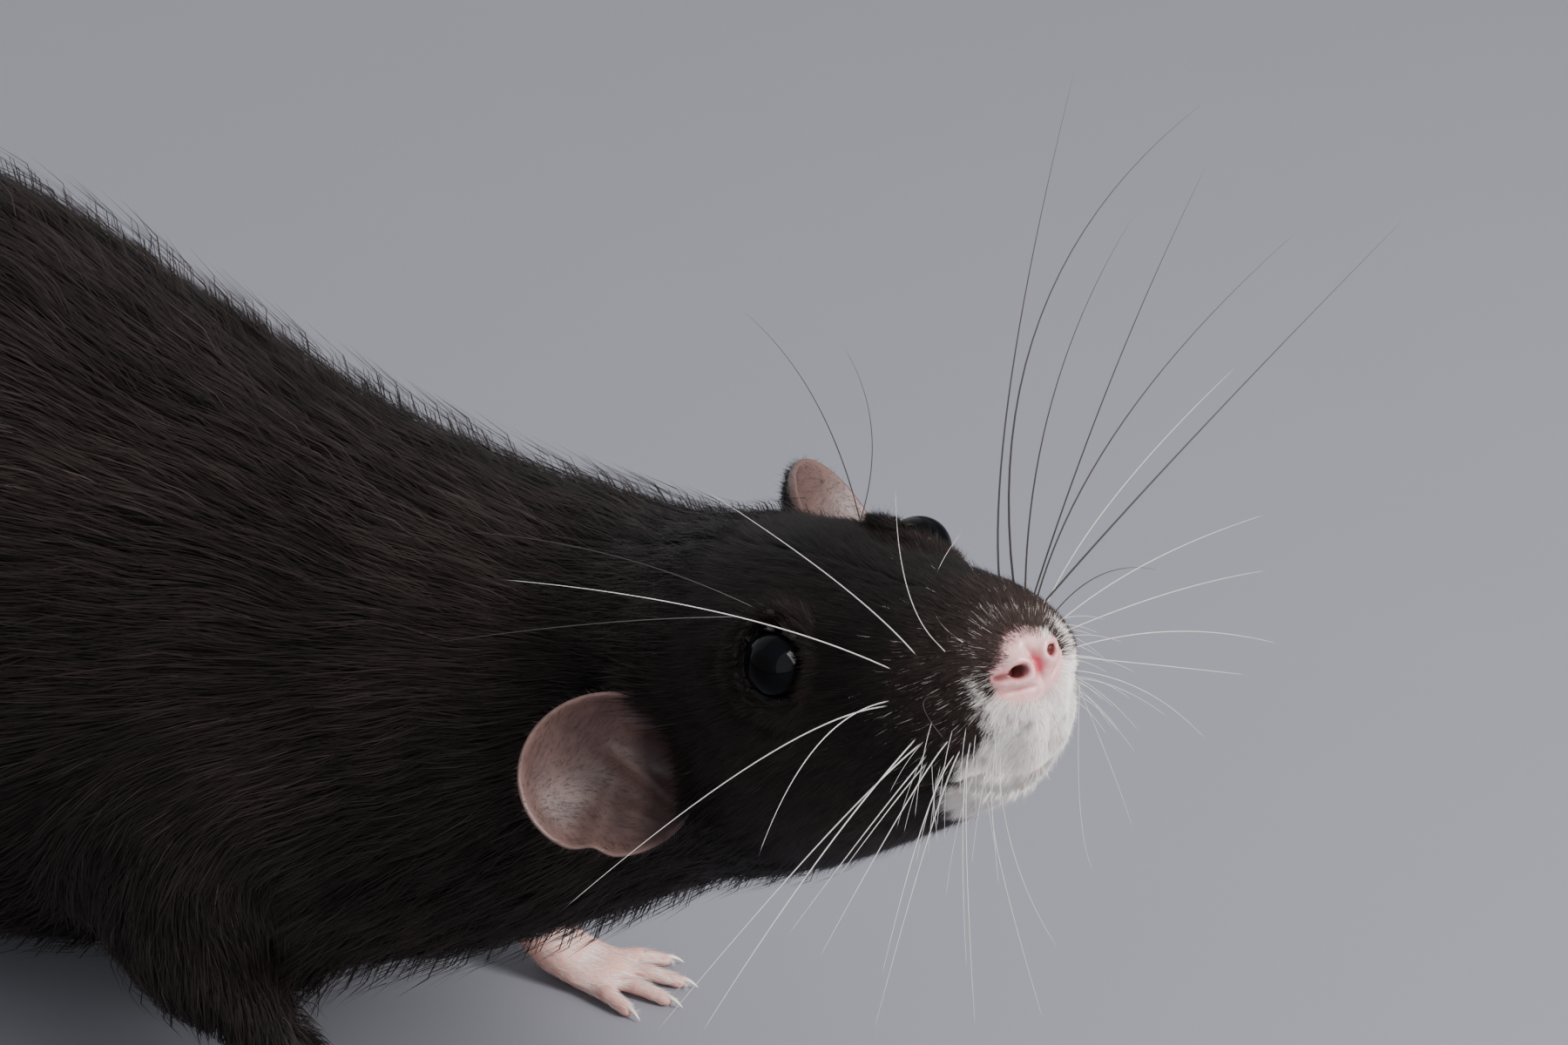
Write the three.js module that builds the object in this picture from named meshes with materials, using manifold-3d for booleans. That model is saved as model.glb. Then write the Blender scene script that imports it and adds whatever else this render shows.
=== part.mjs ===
// An adult fancy rat at rest on all fours, with its back arched, its head lifted and its tail curled
// round its left side. Every outline is that of the tips of the coat.
// Frame, in millimetres: +X to the animal's left, +Y to its tail, +Z up, and the floor is z = 0.
import * as THREE from "three";
import { LoftGeometry } from "three/addons/geometries/LoftGeometry.js";
import { mergeVertices } from "three/addons/utils/BufferGeometryUtils.js";
import Module from "manifold-3d";

const wasm = await Module();
wasm.setup();

// ---- Driving dimensions -------------------------------------------------------------------------
const GAP = 0.3; // clear space between neighbouring pieces
const LEG_GAP = 0.5; // and round the legs
const BACK_HEIGHT = 84; // floor to the top of the arched back
const HEAD_AT = [-10.5, -102, 67]; // just below the bridge, between the eyes
// In degrees: the nose is turned to the right and lifted, and the right ear is lower.
const HEAD_TURN = { yaw: -21.2, pitch: -23.2, roll: -14.7 };
const EYE = { at: [9.3, -2.5, 1], radius: 3.1 };
const MUZZLE_LENGTH = 24.6; // from the eyes' line to the nose tip
const EAR = { radius: 8, bowl: 4.2, shell: 1.1 };
const TAIL = { root: 5.4, tip: 1.0, floorBend: 33, cuts: [0.22, 0.38, 0.54, 0.76] };
const FOREPAW = { palm: 8.5, digit: 6.2, thick: 2.6 };
const HINDFOOT = { sole: 25, digit: 9.5, thick: 3.2 };
const CLAW = { fore: 1.6, hind: 2.2 };

const RINGS_ROUND = 20; // points round a section of the body
const BODY_STEPS = 2; // sections from one station of the body to the next

const toRadians = THREE.MathUtils.degToRad;
const vector = (x, y, z) => new THREE.Vector3(x, y, z);
const lerp = THREE.MathUtils.lerp;

// The frame of the head: x to its left, y to its nape, z to its crown.
const headFrame = new THREE.Matrix4().compose(
  vector(...HEAD_AT),
  new THREE.Quaternion().setFromEuler(
    new THREE.Euler(
      toRadians(HEAD_TURN.pitch),
      toRadians(HEAD_TURN.roll),
      toRadians(HEAD_TURN.yaw),
      "ZXY",
    ),
  ),
  vector(1, 1, 1),
);

// ---- Solids -------------------------------------------------------------------------------------
// A closed geometry as a solid, with its faces turned outwards.
function solid(geometry) {
  const bare = new THREE.BufferGeometry()
    .setAttribute("position", geometry.attributes.position)
    .setIndex(geometry.index);
  const merged = mergeVertices(bare, 1e-4);
  const made = (triVerts) =>
    new wasm.Manifold(
      new wasm.Mesh({
        numProp: 3,
        vertProperties: merged.attributes.position.array,
        triVerts,
      }),
    );
  const triangles = new Uint32Array(merged.index.array);
  const first = made(triangles);
  if (first.volume() > 0) return first;
  return made(triangles.map((_, i) => triangles[i - (i % 3) + [0, 2, 1][i % 3]]));
}

const joined = (solids) => solids.reduce((all, one) => all.add(one));

function ellipsoid(centre, radii, frame = new THREE.Matrix4(), detail = 20) {
  const ball = new THREE.SphereGeometry(1, detail, Math.round(detail * 0.6));
  ball.scale(...radii).translate(...centre);
  return solid(ball.applyMatrix4(frame));
}

// A block from a low corner to a high corner, carried by a frame.
function block(low, high, frame = new THREE.Matrix4()) {
  const size = high.map((h, i) => h - low[i]);
  const box = new THREE.BoxGeometry(...size);
  box.translate(...low.map((l, i) => l + size[i] / 2));
  return solid(box.applyMatrix4(frame));
}

const FAR = 400;
const belowFloor = block([-FAR, -FAR, -FAR], [FAR, FAR, 0]);

// ---- Lofts --------------------------------------------------------------------------------------
// A ring: an egg-shaped section in the x-z plane of its station, widest at the station's own height.
// `grow` moves it outwards. A square of 2 gives a round half, and more gives it fuller shoulders.
function ring(station, grow, count) {
  const { wide, up, down, upSquare, downSquare, at, turn } = station;
  const place = new THREE.Matrix4().compose(at, turn, vector(1, 1, 1));
  return Array.from({ length: count }, (_, i) => {
    const angle = (i / count) * 2 * Math.PI;
    const c = Math.cos(angle);
    const s = Math.sin(angle);
    const power = 2 / (s > 0 ? upSquare : downSquare);
    const height = s > 0 ? up : down;
    return vector(
      Math.sign(c) * (wide + grow) * Math.abs(c) ** power,
      0,
      Math.sign(s) * (height + grow) * Math.abs(s) ** power,
    ).applyMatrix4(place);
  });
}

// Sections from station to station in a number of steps, with every size carried on smoothly.
function stationsBetween(stations, steps) {
  const sizes = ["wide", "up", "down", "upSquare", "downSquare"];
  const along = [0];
  for (let i = 1; i < stations.length; i++) {
    along.push(along[i - 1] + stations[i].at.distanceTo(stations[i - 1].at));
    const { turn } = stations[i];
    if (turn.dot(stations[i - 1].turn) < 0) turn.set(-turn.x, -turn.y, -turn.z, -turn.w);
  }
  const values = stations.flatMap((s) => [
    ...s.at.toArray(),
    ...s.turn.toArray(),
    ...sizes.map((name) => s[name]),
  ]);
  const stride = 7 + sizes.length;
  const track = new THREE.CubicInterpolant(along, values, stride, new Float32Array(stride));
  return Array.from({ length: (stations.length - 1) * steps + 1 }, (_, i) => {
    const low = Math.min(Math.floor(i / steps), stations.length - 2);
    const v = [...track.evaluate(lerp(along[low], along[low + 1], i / steps - low))];
    const station = {
      at: vector(v[0], v[1], v[2]),
      turn: new THREE.Quaternion(v[3], v[4], v[5], v[6]).normalize(),
    };
    sizes.forEach((name, k) => (station[name] = Math.max(v[7 + k], 0.2)));
    return station;
  });
}

function loft(stations, steps, { grow = 0, count = RINGS_ROUND } = {}) {
  const track = stationsBetween(stations, steps);
  const ends = [
    [track.at(0), track.at(1)],
    [track.at(-1), track.at(-2)],
  ];
  for (const [end, next] of ends) {
    end.at.addScaledVector(end.at.clone().sub(next.at).normalize(), grow);
  }
  const rings = track.map((s) => ring(s, grow, count));
  return solid(new LoftGeometry(rings, { capStart: true, capEnd: true }));
}

// A limb: round sections at the named joints, from one joint to the next.
function limb(joints, { grow = 0, count = 10, steps = 2 } = {}) {
  const line = joints.map((j) => vector(...j.at));
  const stations = joints.map((j, i) => {
    const ahead = line[Math.min(i + 1, line.length - 1)];
    const behind = line[Math.max(i - 1, 0)];
    const back = behind.clone().sub(ahead).normalize();
    const side = vector(1, 0, 0).addScaledVector(back, -back.x).normalize();
    const over = vector().crossVectors(side, back);
    return {
      at: line[i],
      turn: new THREE.Quaternion().setFromRotationMatrix(
        new THREE.Matrix4().makeBasis(side, back, over),
      ),
      wide: j.wide ?? j.r,
      up: j.r,
      down: j.r,
      upSquare: 2,
      downSquare: 2,
    };
  });
  return loft(stations, steps, { grow, count });
}

// ---- Body: one smooth form from the tail's root to the nose ---------------------------------------
function bodyStation(y, z, pitch, wide, top, bottom, upSquare = 2, downSquare = 2.3) {
  return {
    at: vector(0, y, z),
    turn: new THREE.Quaternion().setFromEuler(new THREE.Euler(toRadians(-pitch), 0, 0)),
    wide,
    up: top - z,
    down: z - bottom,
    upSquare,
    downSquare,
  };
}

function headStation(y, z, wide, top, bottom, upSquare = 2, downSquare = 2) {
  return {
    ...bodyStation(y, z, 0, wide, top, bottom, upSquare, downSquare),
    at: vector(0, y, z).applyMatrix4(headFrame),
    turn: new THREE.Quaternion().setFromRotationMatrix(headFrame),
  };
}

const NOSE_Y = -MUZZLE_LENGTH;
const BODY = [
  // tail root, rump, hips, loin, belly, chest, shoulders and neck:
  // y, height, pitch, half-width, top, bottom
  bodyStation(83, 17, 50, 6.5, 23.5, 10.5),
  bodyStation(76, 25, 36, 17, 41, 9, 2, 2),
  bodyStation(61, 33, 20, 28, 65, 6, 2.1, 2.1),
  bodyStation(38, 37, 6, 33, BACK_HEIGHT - 4, 5, 2.25),
  bodyStation(10, 37, -2, 33, BACK_HEIGHT, 5, 2.25),
  bodyStation(-18, 37, 2, 29.5, BACK_HEIGHT - 8, 7, 2.15),
  bodyStation(-42, 40, 10, 25.5, 70.5, 11),
  bodyStation(-60, 46, 18, 22, 67.5, 18),
  // nape, ears, crown, eyes, bridge, cheeks, muzzle and nose, in the head's frame:
  // y, height, half-width, top, bottom
  headStation(28, -7, 17.5, 9.5, -26.5, 2.1, 2.1),
  headStation(16, -7.5, 15.8, 9.4, -25.6, 2.1, 2.1),
  headStation(6, -7, 14.6, 9, -24, 2, 2.1),
  headStation(-2, -6.5, 12.6, 7.4, -22, 2, 2.1),
  headStation(-9, -6.5, 10.8, 5, -20.2, 2, 2.1),
  headStation(-15, -7, 9.6, 2.9, -18.4, 2.1, 2.1),
  headStation(-19.5, -6.8, 8, 1, -14.8, 2.1, 2.1),
  headStation(-22.5, -6.2, 5.6, -1.2, -11.4, 2.1, 2.1),
  headStation(NOSE_Y + 0.6, -5.6, 3.2, -2.8, -8.6),
];

const EYES_AT = [1, -1].map((side) => [side * EYE.at[0], EYE.at[1], EYE.at[2]]);
const inHead = (centre, radii, detail) => ellipsoid(centre, radii, headFrame, detail);

// ---- Ears ---------------------------------------------------------------------------------------
// Each ear is a thin bowl: a ball whose front half is pressed into its back half.
function earOutline(angle) {
  const notch = Math.exp(-(((angle - 5.05) / 0.2) ** 2)) * 0.1;
  return EAR.radius * (1 + 0.05 * Math.cos(2 * angle) - notch);
}

// The frame of an ear: x runs out from its root, y faces the way that it opens, and z is its top edge.
function earFrame({ side, root, out, face }) {
  const away = vector(...out).normalize();
  const front = vector(...face).addScaledVector(away, -vector(...face).dot(away)).normalize();
  const up = vector().crossVectors(away, front).multiplyScalar(-side).normalize();
  const frame = new THREE.Matrix4().makeBasis(away, front, up);
  return headFrame.clone().multiply(frame.setPosition(vector(...root).addScaledVector(away, 4.6)));
}

function ear(where, grow = 0) {
  const ball = new THREE.SphereGeometry(1, 18, 6);
  const place = ball.attributes.position;
  for (let i = 0; i < place.count; i++) {
    const [x, y, z] = [place.getX(i), place.getY(i), place.getZ(i)];
    const share = Math.min(Math.hypot(x, z), 1);
    const angle = (Math.atan2(z, x) + 2 * Math.PI) % (2 * Math.PI);
    const reach = share * (earOutline(angle) + grow);
    const behind = y < 0 ? (1 - share) * 1.6 : 0;
    const bowl = EAR.bowl * (1 - (reach / earOutline(angle)) ** 1.8);
    const depth = bowl - y * (EAR.shell / 2 + grow) + behind;
    place.setXYZ(i, Math.cos(angle) * reach, -depth, Math.sin(angle) * reach);
  }
  return solid(ball.applyMatrix4(earFrame(where)));
}

// What an open ear leaves clear of the head in front of it.
function earMouth(where) {
  return ellipsoid([0.3, 1, 0], [EAR.radius - 0.5, 4.7, EAR.radius - 0.7], earFrame(where), 9);
}

// The right ear is turned lower and further forward than the left one.
const EARS = {
  left: { side: 1, root: [14.4, 15.8, -3.6], out: [0.6, 0.62, 0.52], face: [0.66, -0.7, 0.26] },
  right: { side: -1, root: [-14.8, 15, -6.6], out: [-0.7, 0.62, 0.34], face: [-0.6, -0.74, 0.28] },
};

// ---- Feet ---------------------------------------------------------------------------------------
// A foot in its own frame: it points along -y from the wrist or heel at the origin, sole down.
// Each digit ends in a claw, and the sole is flat on the floor.
function digit(base, heading, length, thick, claw) {
  const at = (forward, height) => [
    base[0] - Math.sin(toRadians(heading)) * forward,
    base[1] - Math.cos(toRadians(heading)) * forward,
    height,
  ];
  return limb(
    [
      { at: at(-1.5, thick * 0.75), r: thick * 0.8 },
      { at: at(length * 0.45, thick * 0.85), r: thick * 0.8 },
      { at: at(length * 0.88, thick * 0.6), r: thick * 0.82 },
      { at: at(length + 0.2, thick * 0.75), r: thick * 0.42 },
      { at: at(length + claw, thick * 0.38), r: 0.25 },
    ],
    { count: 5, steps: 1 },
  );
}

function forepad(grow = 0) {
  const { palm, thick } = FOREPAW;
  return limb(
    [
      { at: [0, 2.2, 5.4], r: 3, wide: 3.2 },
      { at: [0, -1.5, 2.7], r: 2.9, wide: 3.6 },
      { at: [0, -palm * 0.6, thick * 0.55], r: thick * 0.72, wide: 4.4 },
      { at: [0, -palm, thick * 0.45], r: thick * 0.62, wide: 4 },
    ],
    { grow, steps: 1 },
  );
}

function forepaw() {
  const { palm, digit: long } = FOREPAW;
  const digits = [
    { x: -3.1, back: 1.9, heading: 24, share: 0.86 },
    { x: -1.1, back: 0.2, heading: 7, share: 1 },
    { x: 1.1, back: 0.2, heading: -7, share: 1 },
    { x: 3.1, back: 1.9, heading: -24, share: 0.84 },
  ].map((d) => digit([d.x, -palm + d.back, 0], d.heading, long * d.share, 1.15, CLAW.fore));
  return joined([forepad(), ...digits]);
}

function hindpad(grow = 0) {
  const { sole, thick } = HINDFOOT;
  return limb(
    [
      { at: [0, 3, 6.6], r: 3.6, wide: 3.4 },
      { at: [0, -2, 3.3], r: 3.7, wide: 3.6 },
      { at: [0, -sole * 0.45, thick * 0.62], r: thick * 0.74, wide: 3.8 },
      { at: [0, -sole * 0.85, thick * 0.5], r: thick * 0.64, wide: 5.2 },
      { at: [0, -sole, thick * 0.4], r: thick * 0.5, wide: 4.8 },
    ],
    { grow, steps: 1 },
  );
}

function hindfoot() {
  const { sole, digit: long } = HINDFOOT;
  const digits = [
    { x: -4.4, back: 5.4, heading: 26, share: 0.74 },
    { x: -2.5, back: 1.2, heading: 8, share: 1 },
    { x: 0, back: 0.4, heading: 0, share: 1.05 },
    { x: 2.5, back: 1.2, heading: -8, share: 1 },
    { x: 4.4, back: 5.4, heading: -26, share: 0.78 },
  ].map((d) => digit([d.x, -sole + d.back, 0], d.heading, long * d.share, 1.3, CLAW.hind));
  return joined([hindpad(), ...digits]);
}

// ---- Legs, in the row frame; `side` is 1 on the left -----------------------------------------------
const LEGS = {
  left: { side: 1, forepaw: [17, -54], fore: 6, heel: [27, 55], hind: 12 },
  right: { side: -1, forepaw: [-18, -49], fore: -8, heel: [-28, 53], hind: -12 },
};

// A muscle: an egg shape at a place, leaning back by `pitch` and splayed out by `yaw` degrees.
function muscle(at, radii, pitch, yaw, grow) {
  const frame = new THREE.Matrix4().compose(
    vector(...at),
    new THREE.Quaternion().setFromEuler(new THREE.Euler(toRadians(pitch), 0, toRadians(yaw))),
    vector(1, 1, 1),
  );
  return ellipsoid([0, 0, 0], radii.map((r) => r + grow), frame, 12);
}

function foreleg(leg, grow = 0) {
  const [x, y] = leg.forepaw;
  const forearm = limb(
    [
      { at: [leg.side * 20, -31, 24], r: 7 },
      { at: [leg.side * 20.5, -36, 18.5], r: 7.6 },
      { at: [x + leg.side, y + 6.5, 11.5], r: 4.6 },
      { at: [x, y + 1, 6.4], r: 3.2 },
    ],
    { grow },
  );
  return muscle([leg.side * 18.5, -37, 31], [9.5, 12, 16], 18, 0, grow).add(forearm);
}

function haunch(leg, grow = 0) {
  const [x, y] = leg.heel;
  const ankle = limb(
    [
      { at: [leg.side * 27.5, y - 20, 13], r: 7 },
      { at: [x, y - 6, 10], r: 5.6 },
      { at: [x, y + 1.5, 7.2], r: 4 },
    ],
    { grow },
  );
  return muscle([leg.side * 22.5, 40, 31], [15.5, 30, 25], -16, leg.side * 8, grow)
    .add(muscle([leg.side * 27.5, 31, 15], [8.5, 20, 9.5], -10, 0, grow))
    .add(ankle);
}

function placed(x, y, turn) {
  return new THREE.Matrix4().makeRotationZ(toRadians(turn)).setPosition(x, y, 0).toArray();
}

// ---- Tail: back from its root to the floor, then round the left side ------------------------------
const TAIL_STEPS = 26;
const BEND = TAIL.floorBend;
const TAIL_LINE = new THREE.CatmullRomCurve3([
  vector(0, 78, 19),
  vector(-1, 88, 9.5),
  vector(-2, 98.5, 5.4),
  ...[155, 115, 75, 35, 0].map((degrees) => {
    const angle = toRadians(degrees);
    return vector(BEND + BEND * Math.cos(angle), 104 + BEND * 0.7 * Math.sin(angle), 0);
  }),
  vector(2 * BEND - 1, 82, 0),
  vector(2 * BEND - 5, 58, 0),
  vector(2 * BEND - 5, 34, 0),
]);

function tailRadius(share) {
  return lerp(TAIL.root, TAIL.tip, share ** 0.85);
}

// The tail's middle, held up by its own thickness wherever the line lies on the floor, and bent
// softly where it comes down to it.
function tailAt(share) {
  const at = TAIL_LINE.getPointAt(share);
  const low = tailRadius(share) * 0.9;
  const drop = at.z - low;
  return at.setZ(low + (drop + Math.hypot(drop, tailRadius(share) * 0.5)) / 2);
}

function tail(grow = 0) {
  const shares = Array.from({ length: TAIL_STEPS + 1 }, (_, i) => i / TAIL_STEPS);
  const rings = shares.map((share) => {
    const along = TAIL_LINE.getTangentAt(share);
    const side = vector().crossVectors(along, vector(0, 0, 1)).normalize();
    const over = vector().crossVectors(along, side);
    const radius = tailRadius(share) + grow;
    return Array.from({ length: 8 }, (_, i) => {
      const angle = ((i + 0.5) / 8) * 2 * Math.PI;
      return tailAt(share)
        .addScaledVector(side, Math.cos(angle) * radius)
        .addScaledVector(over, Math.sin(angle) * radius);
    });
  });
  return solid(new LoftGeometry(rings, { capStart: true, capEnd: true }));
}

// A thin slab across the tail, which parts it into lengths.
function tailCut(share) {
  const along = TAIL_LINE.getTangentAt(share);
  const turn = new THREE.Quaternion().setFromUnitVectors(vector(0, 1, 0), along);
  const frame = new THREE.Matrix4().compose(tailAt(share), turn, vector(1, 1, 1));
  return block([-12, -GAP / 2, -14], [12, GAP / 2, 14], frame);
}

// ---- The body's form, and the places in it for the eyes, nose, ears and legs ----------------------
const both = Object.keys(LEGS);
const cheeks = [1, -1].map((s) => inHead([s * 4.6, -15.5, -7.8], [5.6, 6.2, 5.2], 9));
const brows = [1, -1].map((s) => inHead([s * 7, 2.6, 1.8], [4, 6.6, 4.9], 8));
const earMouths = joined(both.map((k) => earMouth(EARS[k])));
const form = joined([loft(BODY, BODY_STEPS), ...cheeks, ...brows]).subtract(earMouths);

const eyes = (grow, detail) =>
  EYES_AT.map((at) => inHead(at, Array(3).fill(EYE.radius + grow), detail));
const nosePad = (grow) => inHead([0, NOSE_Y + 1.6, -4.9], [3.7 + grow, 2.7 + grow, 3.4 + grow], 9);
const nostrils = joined(
  [1, -1].flatMap((s) => [
    inHead([s * 2.1, NOSE_Y - 0.5, -5.1], [0.75, 1.2, 0.75], 6),
    inHead([s * 3.1, NOSE_Y + 0.4, -5.7], [1.1, 1.1, 0.45], 6),
  ]),
);
const earPlaces = joined(both.map((k) => ear(EARS[k], 2 * GAP)));
const legPlaces = joined(
  both.flatMap((k) => [foreleg(LEGS[k], LEG_GAP), haunch(LEGS[k], LEG_GAP)]),
);

// ---- Thin partings ----------------------------------------------------------------------------------
// A parting crosses the body at y, leaning back by `pitch`: all that is ahead of it, and behind it.
function parting(y, pitch, frame = new THREE.Matrix4()) {
  const lean = new THREE.Matrix4().makeRotationX(toRadians(pitch)).setPosition(0, y, 0);
  const turn = frame.clone().multiply(lean);
  return {
    ahead: block([-FAR, -FAR, -FAR], [FAR, -GAP / 2, FAR], turn),
    behind: block([-FAR, GAP / 2, -FAR], [FAR, FAR, FAR], turn),
  };
}

const headParting = parting(25, 8, headFrame);
const neckParting = parting(-40, -14);
const waistParting = parting(14, 0);

// The closed mouth: a thin cut back from the lips, then down behind the chin.
const mouthFrame = new THREE.Matrix4().makeRotationX(toRadians(9)).setPosition(0, -16, -13.6);
const jawBlock = (grow) =>
  block([-30, -30, -30], [30, 15 + grow, grow], headFrame.clone().multiply(mouthFrame));

const headAndJaw = form
  .intersect(headParting.ahead)
  .subtract(joined(eyes(GAP, 10)))
  .subtract(nosePad(GAP));
const trunk = form.intersect(headParting.behind).subtract(legPlaces);
const backTrunk = trunk.intersect(neckParting.behind).subtract(tail(GAP));

// ---- Materials ------------------------------------------------------------------------------------
const finish = (color, roughness) =>
  new THREE.MeshStandardMaterial({ color, roughness, metalness: 0 });
const COAT = finish(0x2a2422, 0.75);
const CHIN = finish(0xe8e2de, 0.8);
const PINK = finish(0xd99a93, 0.55);
const EAR_SKIN = finish(0xa07c78, 0.6);
const FOOT_SKIN = finish(0xc79a8e, 0.6);
const TAIL_SKIN = finish(0x7a6560, 0.65);
const EYE_BLACK = finish(0x0b0b0d, 0.08);

// ---- The rat ----------------------------------------------------------------------------------------
const rat = new THREE.Group();

// Adds the largest body of a solid as a named mesh.
function node(name, shape, material) {
  const [body] = shape.decompose().sort((a, b) => b.volume() - a.volume());
  const { numProp, vertProperties, triVerts, numVert } = body.getMesh();
  const places = new Float32Array(numVert * 3);
  for (let i = 0; i < numVert; i++) {
    places.set(vertProperties.subarray(i * numProp, i * numProp + 3), i * 3);
  }
  const geometry = new THREE.BufferGeometry();
  geometry.setAttribute("position", new THREE.BufferAttribute(places, 3));
  geometry.setIndex(new THREE.BufferAttribute(triVerts, 1));
  const mesh = new THREE.Mesh(geometry, material);
  mesh.name = name;
  rat.add(mesh);
}

const onFloor = (one) => one.subtract(belowFloor);

node("head", headAndJaw.subtract(jawBlock(GAP)).subtract(earPlaces), COAT);
node("lower_jaw", headAndJaw.intersect(jawBlock(0)), CHIN);
node("nose", nosePad(0).subtract(nostrils), PINK);
node("neck", trunk.intersect(neckParting.ahead).subtract(earPlaces), COAT);
node("chest", backTrunk.intersect(waistParting.ahead), COAT);
node("loin", backTrunk.intersect(waistParting.behind), COAT);

both.forEach((k, i) => {
  const leg = LEGS[k];
  const paw = placed(...leg.forepaw, leg.fore);
  const foot = placed(...leg.heel, leg.hind);
  node(`eye_${k}`, eyes(0, 11)[i], EYE_BLACK);
  node(`ear_${k}`, ear(EARS[k]), EAR_SKIN);
  node(`foreleg_${k}`, foreleg(leg).subtract(forepad(GAP).transform(paw)), COAT);
  node(`forepaw_${k}`, onFloor(forepaw().transform(paw)), FOOT_SKIN);
  node(`haunch_${k}`, haunch(leg).subtract(hindpad(GAP).transform(foot)), COAT);
  node(`hindfoot_${k}`, onFloor(hindfoot().transform(foot)), FOOT_SKIN);
});

const tailLengths = TAIL.cuts.reduce((whole, share) => whole.subtract(tailCut(share)), onFloor(tail()));
tailLengths
  .decompose()
  .sort((a, b) => b.volume() - a.volume())
  .forEach((length, i) => node(`tail_${i + 1}`, length, TAIL_SKIN));

// The origin: on the floor, in the middle of the whole.
const box = new THREE.Box3().setFromObject(rat);
rat.position.set(-(box.min.x + box.max.x) / 2, -(box.min.y + box.max.y) / 2, -box.min.z);

export default rat;
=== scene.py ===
"""The looks of a life-size rat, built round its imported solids: skin, coat, eyes, claws, whiskers."""

import logging
from dataclasses import dataclass, field
from enum import Enum
from math import ceil, cos, pi, radians, sin

import bpy
import numpy as np
import openvdb as vdb
from mathutils import Matrix, Vector
from mathutils.bvhtree import BVHTree


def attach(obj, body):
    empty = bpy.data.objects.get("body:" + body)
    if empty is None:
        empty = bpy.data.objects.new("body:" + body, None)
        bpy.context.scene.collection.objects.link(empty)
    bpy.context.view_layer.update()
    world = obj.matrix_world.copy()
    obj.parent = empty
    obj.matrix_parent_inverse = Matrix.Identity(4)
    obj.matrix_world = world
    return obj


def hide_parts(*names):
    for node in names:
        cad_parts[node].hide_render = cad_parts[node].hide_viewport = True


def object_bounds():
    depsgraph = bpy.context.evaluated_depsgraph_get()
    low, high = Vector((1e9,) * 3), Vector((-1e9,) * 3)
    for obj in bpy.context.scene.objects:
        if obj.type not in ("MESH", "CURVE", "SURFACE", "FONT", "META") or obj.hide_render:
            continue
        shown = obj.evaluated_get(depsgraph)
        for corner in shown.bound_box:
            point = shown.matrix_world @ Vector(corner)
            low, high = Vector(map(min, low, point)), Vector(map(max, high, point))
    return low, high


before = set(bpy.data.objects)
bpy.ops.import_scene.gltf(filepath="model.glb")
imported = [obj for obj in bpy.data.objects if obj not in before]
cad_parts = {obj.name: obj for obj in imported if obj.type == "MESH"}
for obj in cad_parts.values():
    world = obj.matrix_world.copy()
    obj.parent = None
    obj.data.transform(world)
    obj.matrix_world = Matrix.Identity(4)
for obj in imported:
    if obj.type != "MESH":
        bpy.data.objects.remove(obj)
CAD_BOX = [list(corner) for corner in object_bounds()]

LOG = logging.getLogger("rat")
MM = 0.001
Array = np.ndarray
Real = np.float32
Triple = tuple[float, float, float]
Colour = Triple
Spot = tuple[float, float]
Object, Material = bpy.types.Object, bpy.types.Material
Node, NodeTree, Socket = bpy.types.Node, bpy.types.NodeTree, bpy.types.NodeSocket
Amount = float | Socket
Paint = tuple[float, ...] | Socket

TRUNK_NODES = ("head", "lower_jaw", "nose", "neck", "chest", "loin", "eye_left", "eye_right")
LEG_NODES = ("foreleg_left", "foreleg_right", "haunch_left", "haunch_right")
PAW_NODES = ("forepaw_left", "forepaw_right")
FOOT_NODES = ("hindfoot_left", "hindfoot_right")
TAIL_NODES = ("tail_1", "tail_2", "tail_3", "tail_4", "tail_5")
EAR_NODES = ("ear_left", "ear_right")

STAND = (-13.18, -1.669)
"""How far the animal's own origin lies from the part's, in millimetres."""
SPINE_X = -13.2
TAIL_POINTS = 400
TAIL_LENGTH = 190.0
FAR = 9.0
"""A distance beyond every shape that is still to be joined."""
BATCH = 4000
"""How many points are measured against the whole tail at once."""
CELLS = 4001
"""More cells than any side of the animal has, to number the cells of space."""
FRAME = (1800, 1200)
"""The width and height of the camera's frame, in pixels."""
SENSOR = 36.0
"""The width of the camera's sensor, in millimetres."""
BAKE_PATCH = 0.003
"""The size of a hair's place on the baked map."""


# ---- Numbers ----
def ramp(low: float, high: float, values: Array) -> Array:
    """A smooth step from 0 at `low` to 1 at `high`."""
    share = np.clip((values - low) / (high - low), 0.0, 1.0)
    return share * share * (3.0 - 2.0 * share)


def bell(values: Array, width: float) -> Array:
    """1 at zero, falling off smoothly over `width`."""
    return np.exp(-((values / width) ** 2))


def length(vectors: Array) -> Array:
    """The length of each vector, kept as a column."""
    return np.sqrt((vectors * vectors).sum(-1, keepdims=True))


def vec(*numbers: float) -> Array:
    """Some numbers as one vector."""
    return np.array(numbers, Real)


def unit(vectors: Array) -> Array:
    """Vectors at length 1."""
    return vectors / np.maximum(length(vectors), 1e-9)


def mix(first: Array, second: Array, share: Array) -> Array:
    """`first` where share is 0, `second` where it is 1."""
    return first + (second - first) * share


def joined_low(first: Array, second: Array, width: float) -> Array:
    """The lower of two distances, with a fillet of about `width` where they meet."""
    share = np.clip(0.5 + 0.5 * (second - first) / width, 0.0, 1.0)
    return mix(second, first, share) - width * share * (1.0 - share)


def heading_way(heading: float) -> Array:
    """The way of a digit in its foot's frame, from its heading in degrees."""
    return np.array([-sin(radians(heading)), -cos(radians(heading)), 0.0])


def grid_points(low: Array, first: Array, last: Array, step: float) -> Array:
    """The points of a regular grid between two cells, one to a row."""
    axes = [((low[a] + np.arange(first[a], last[a])) * step).astype(Real) for a in range(3)]
    return np.stack(np.meshgrid(*axes, indexing="ij"), -1).reshape(-1, 3)


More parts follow.
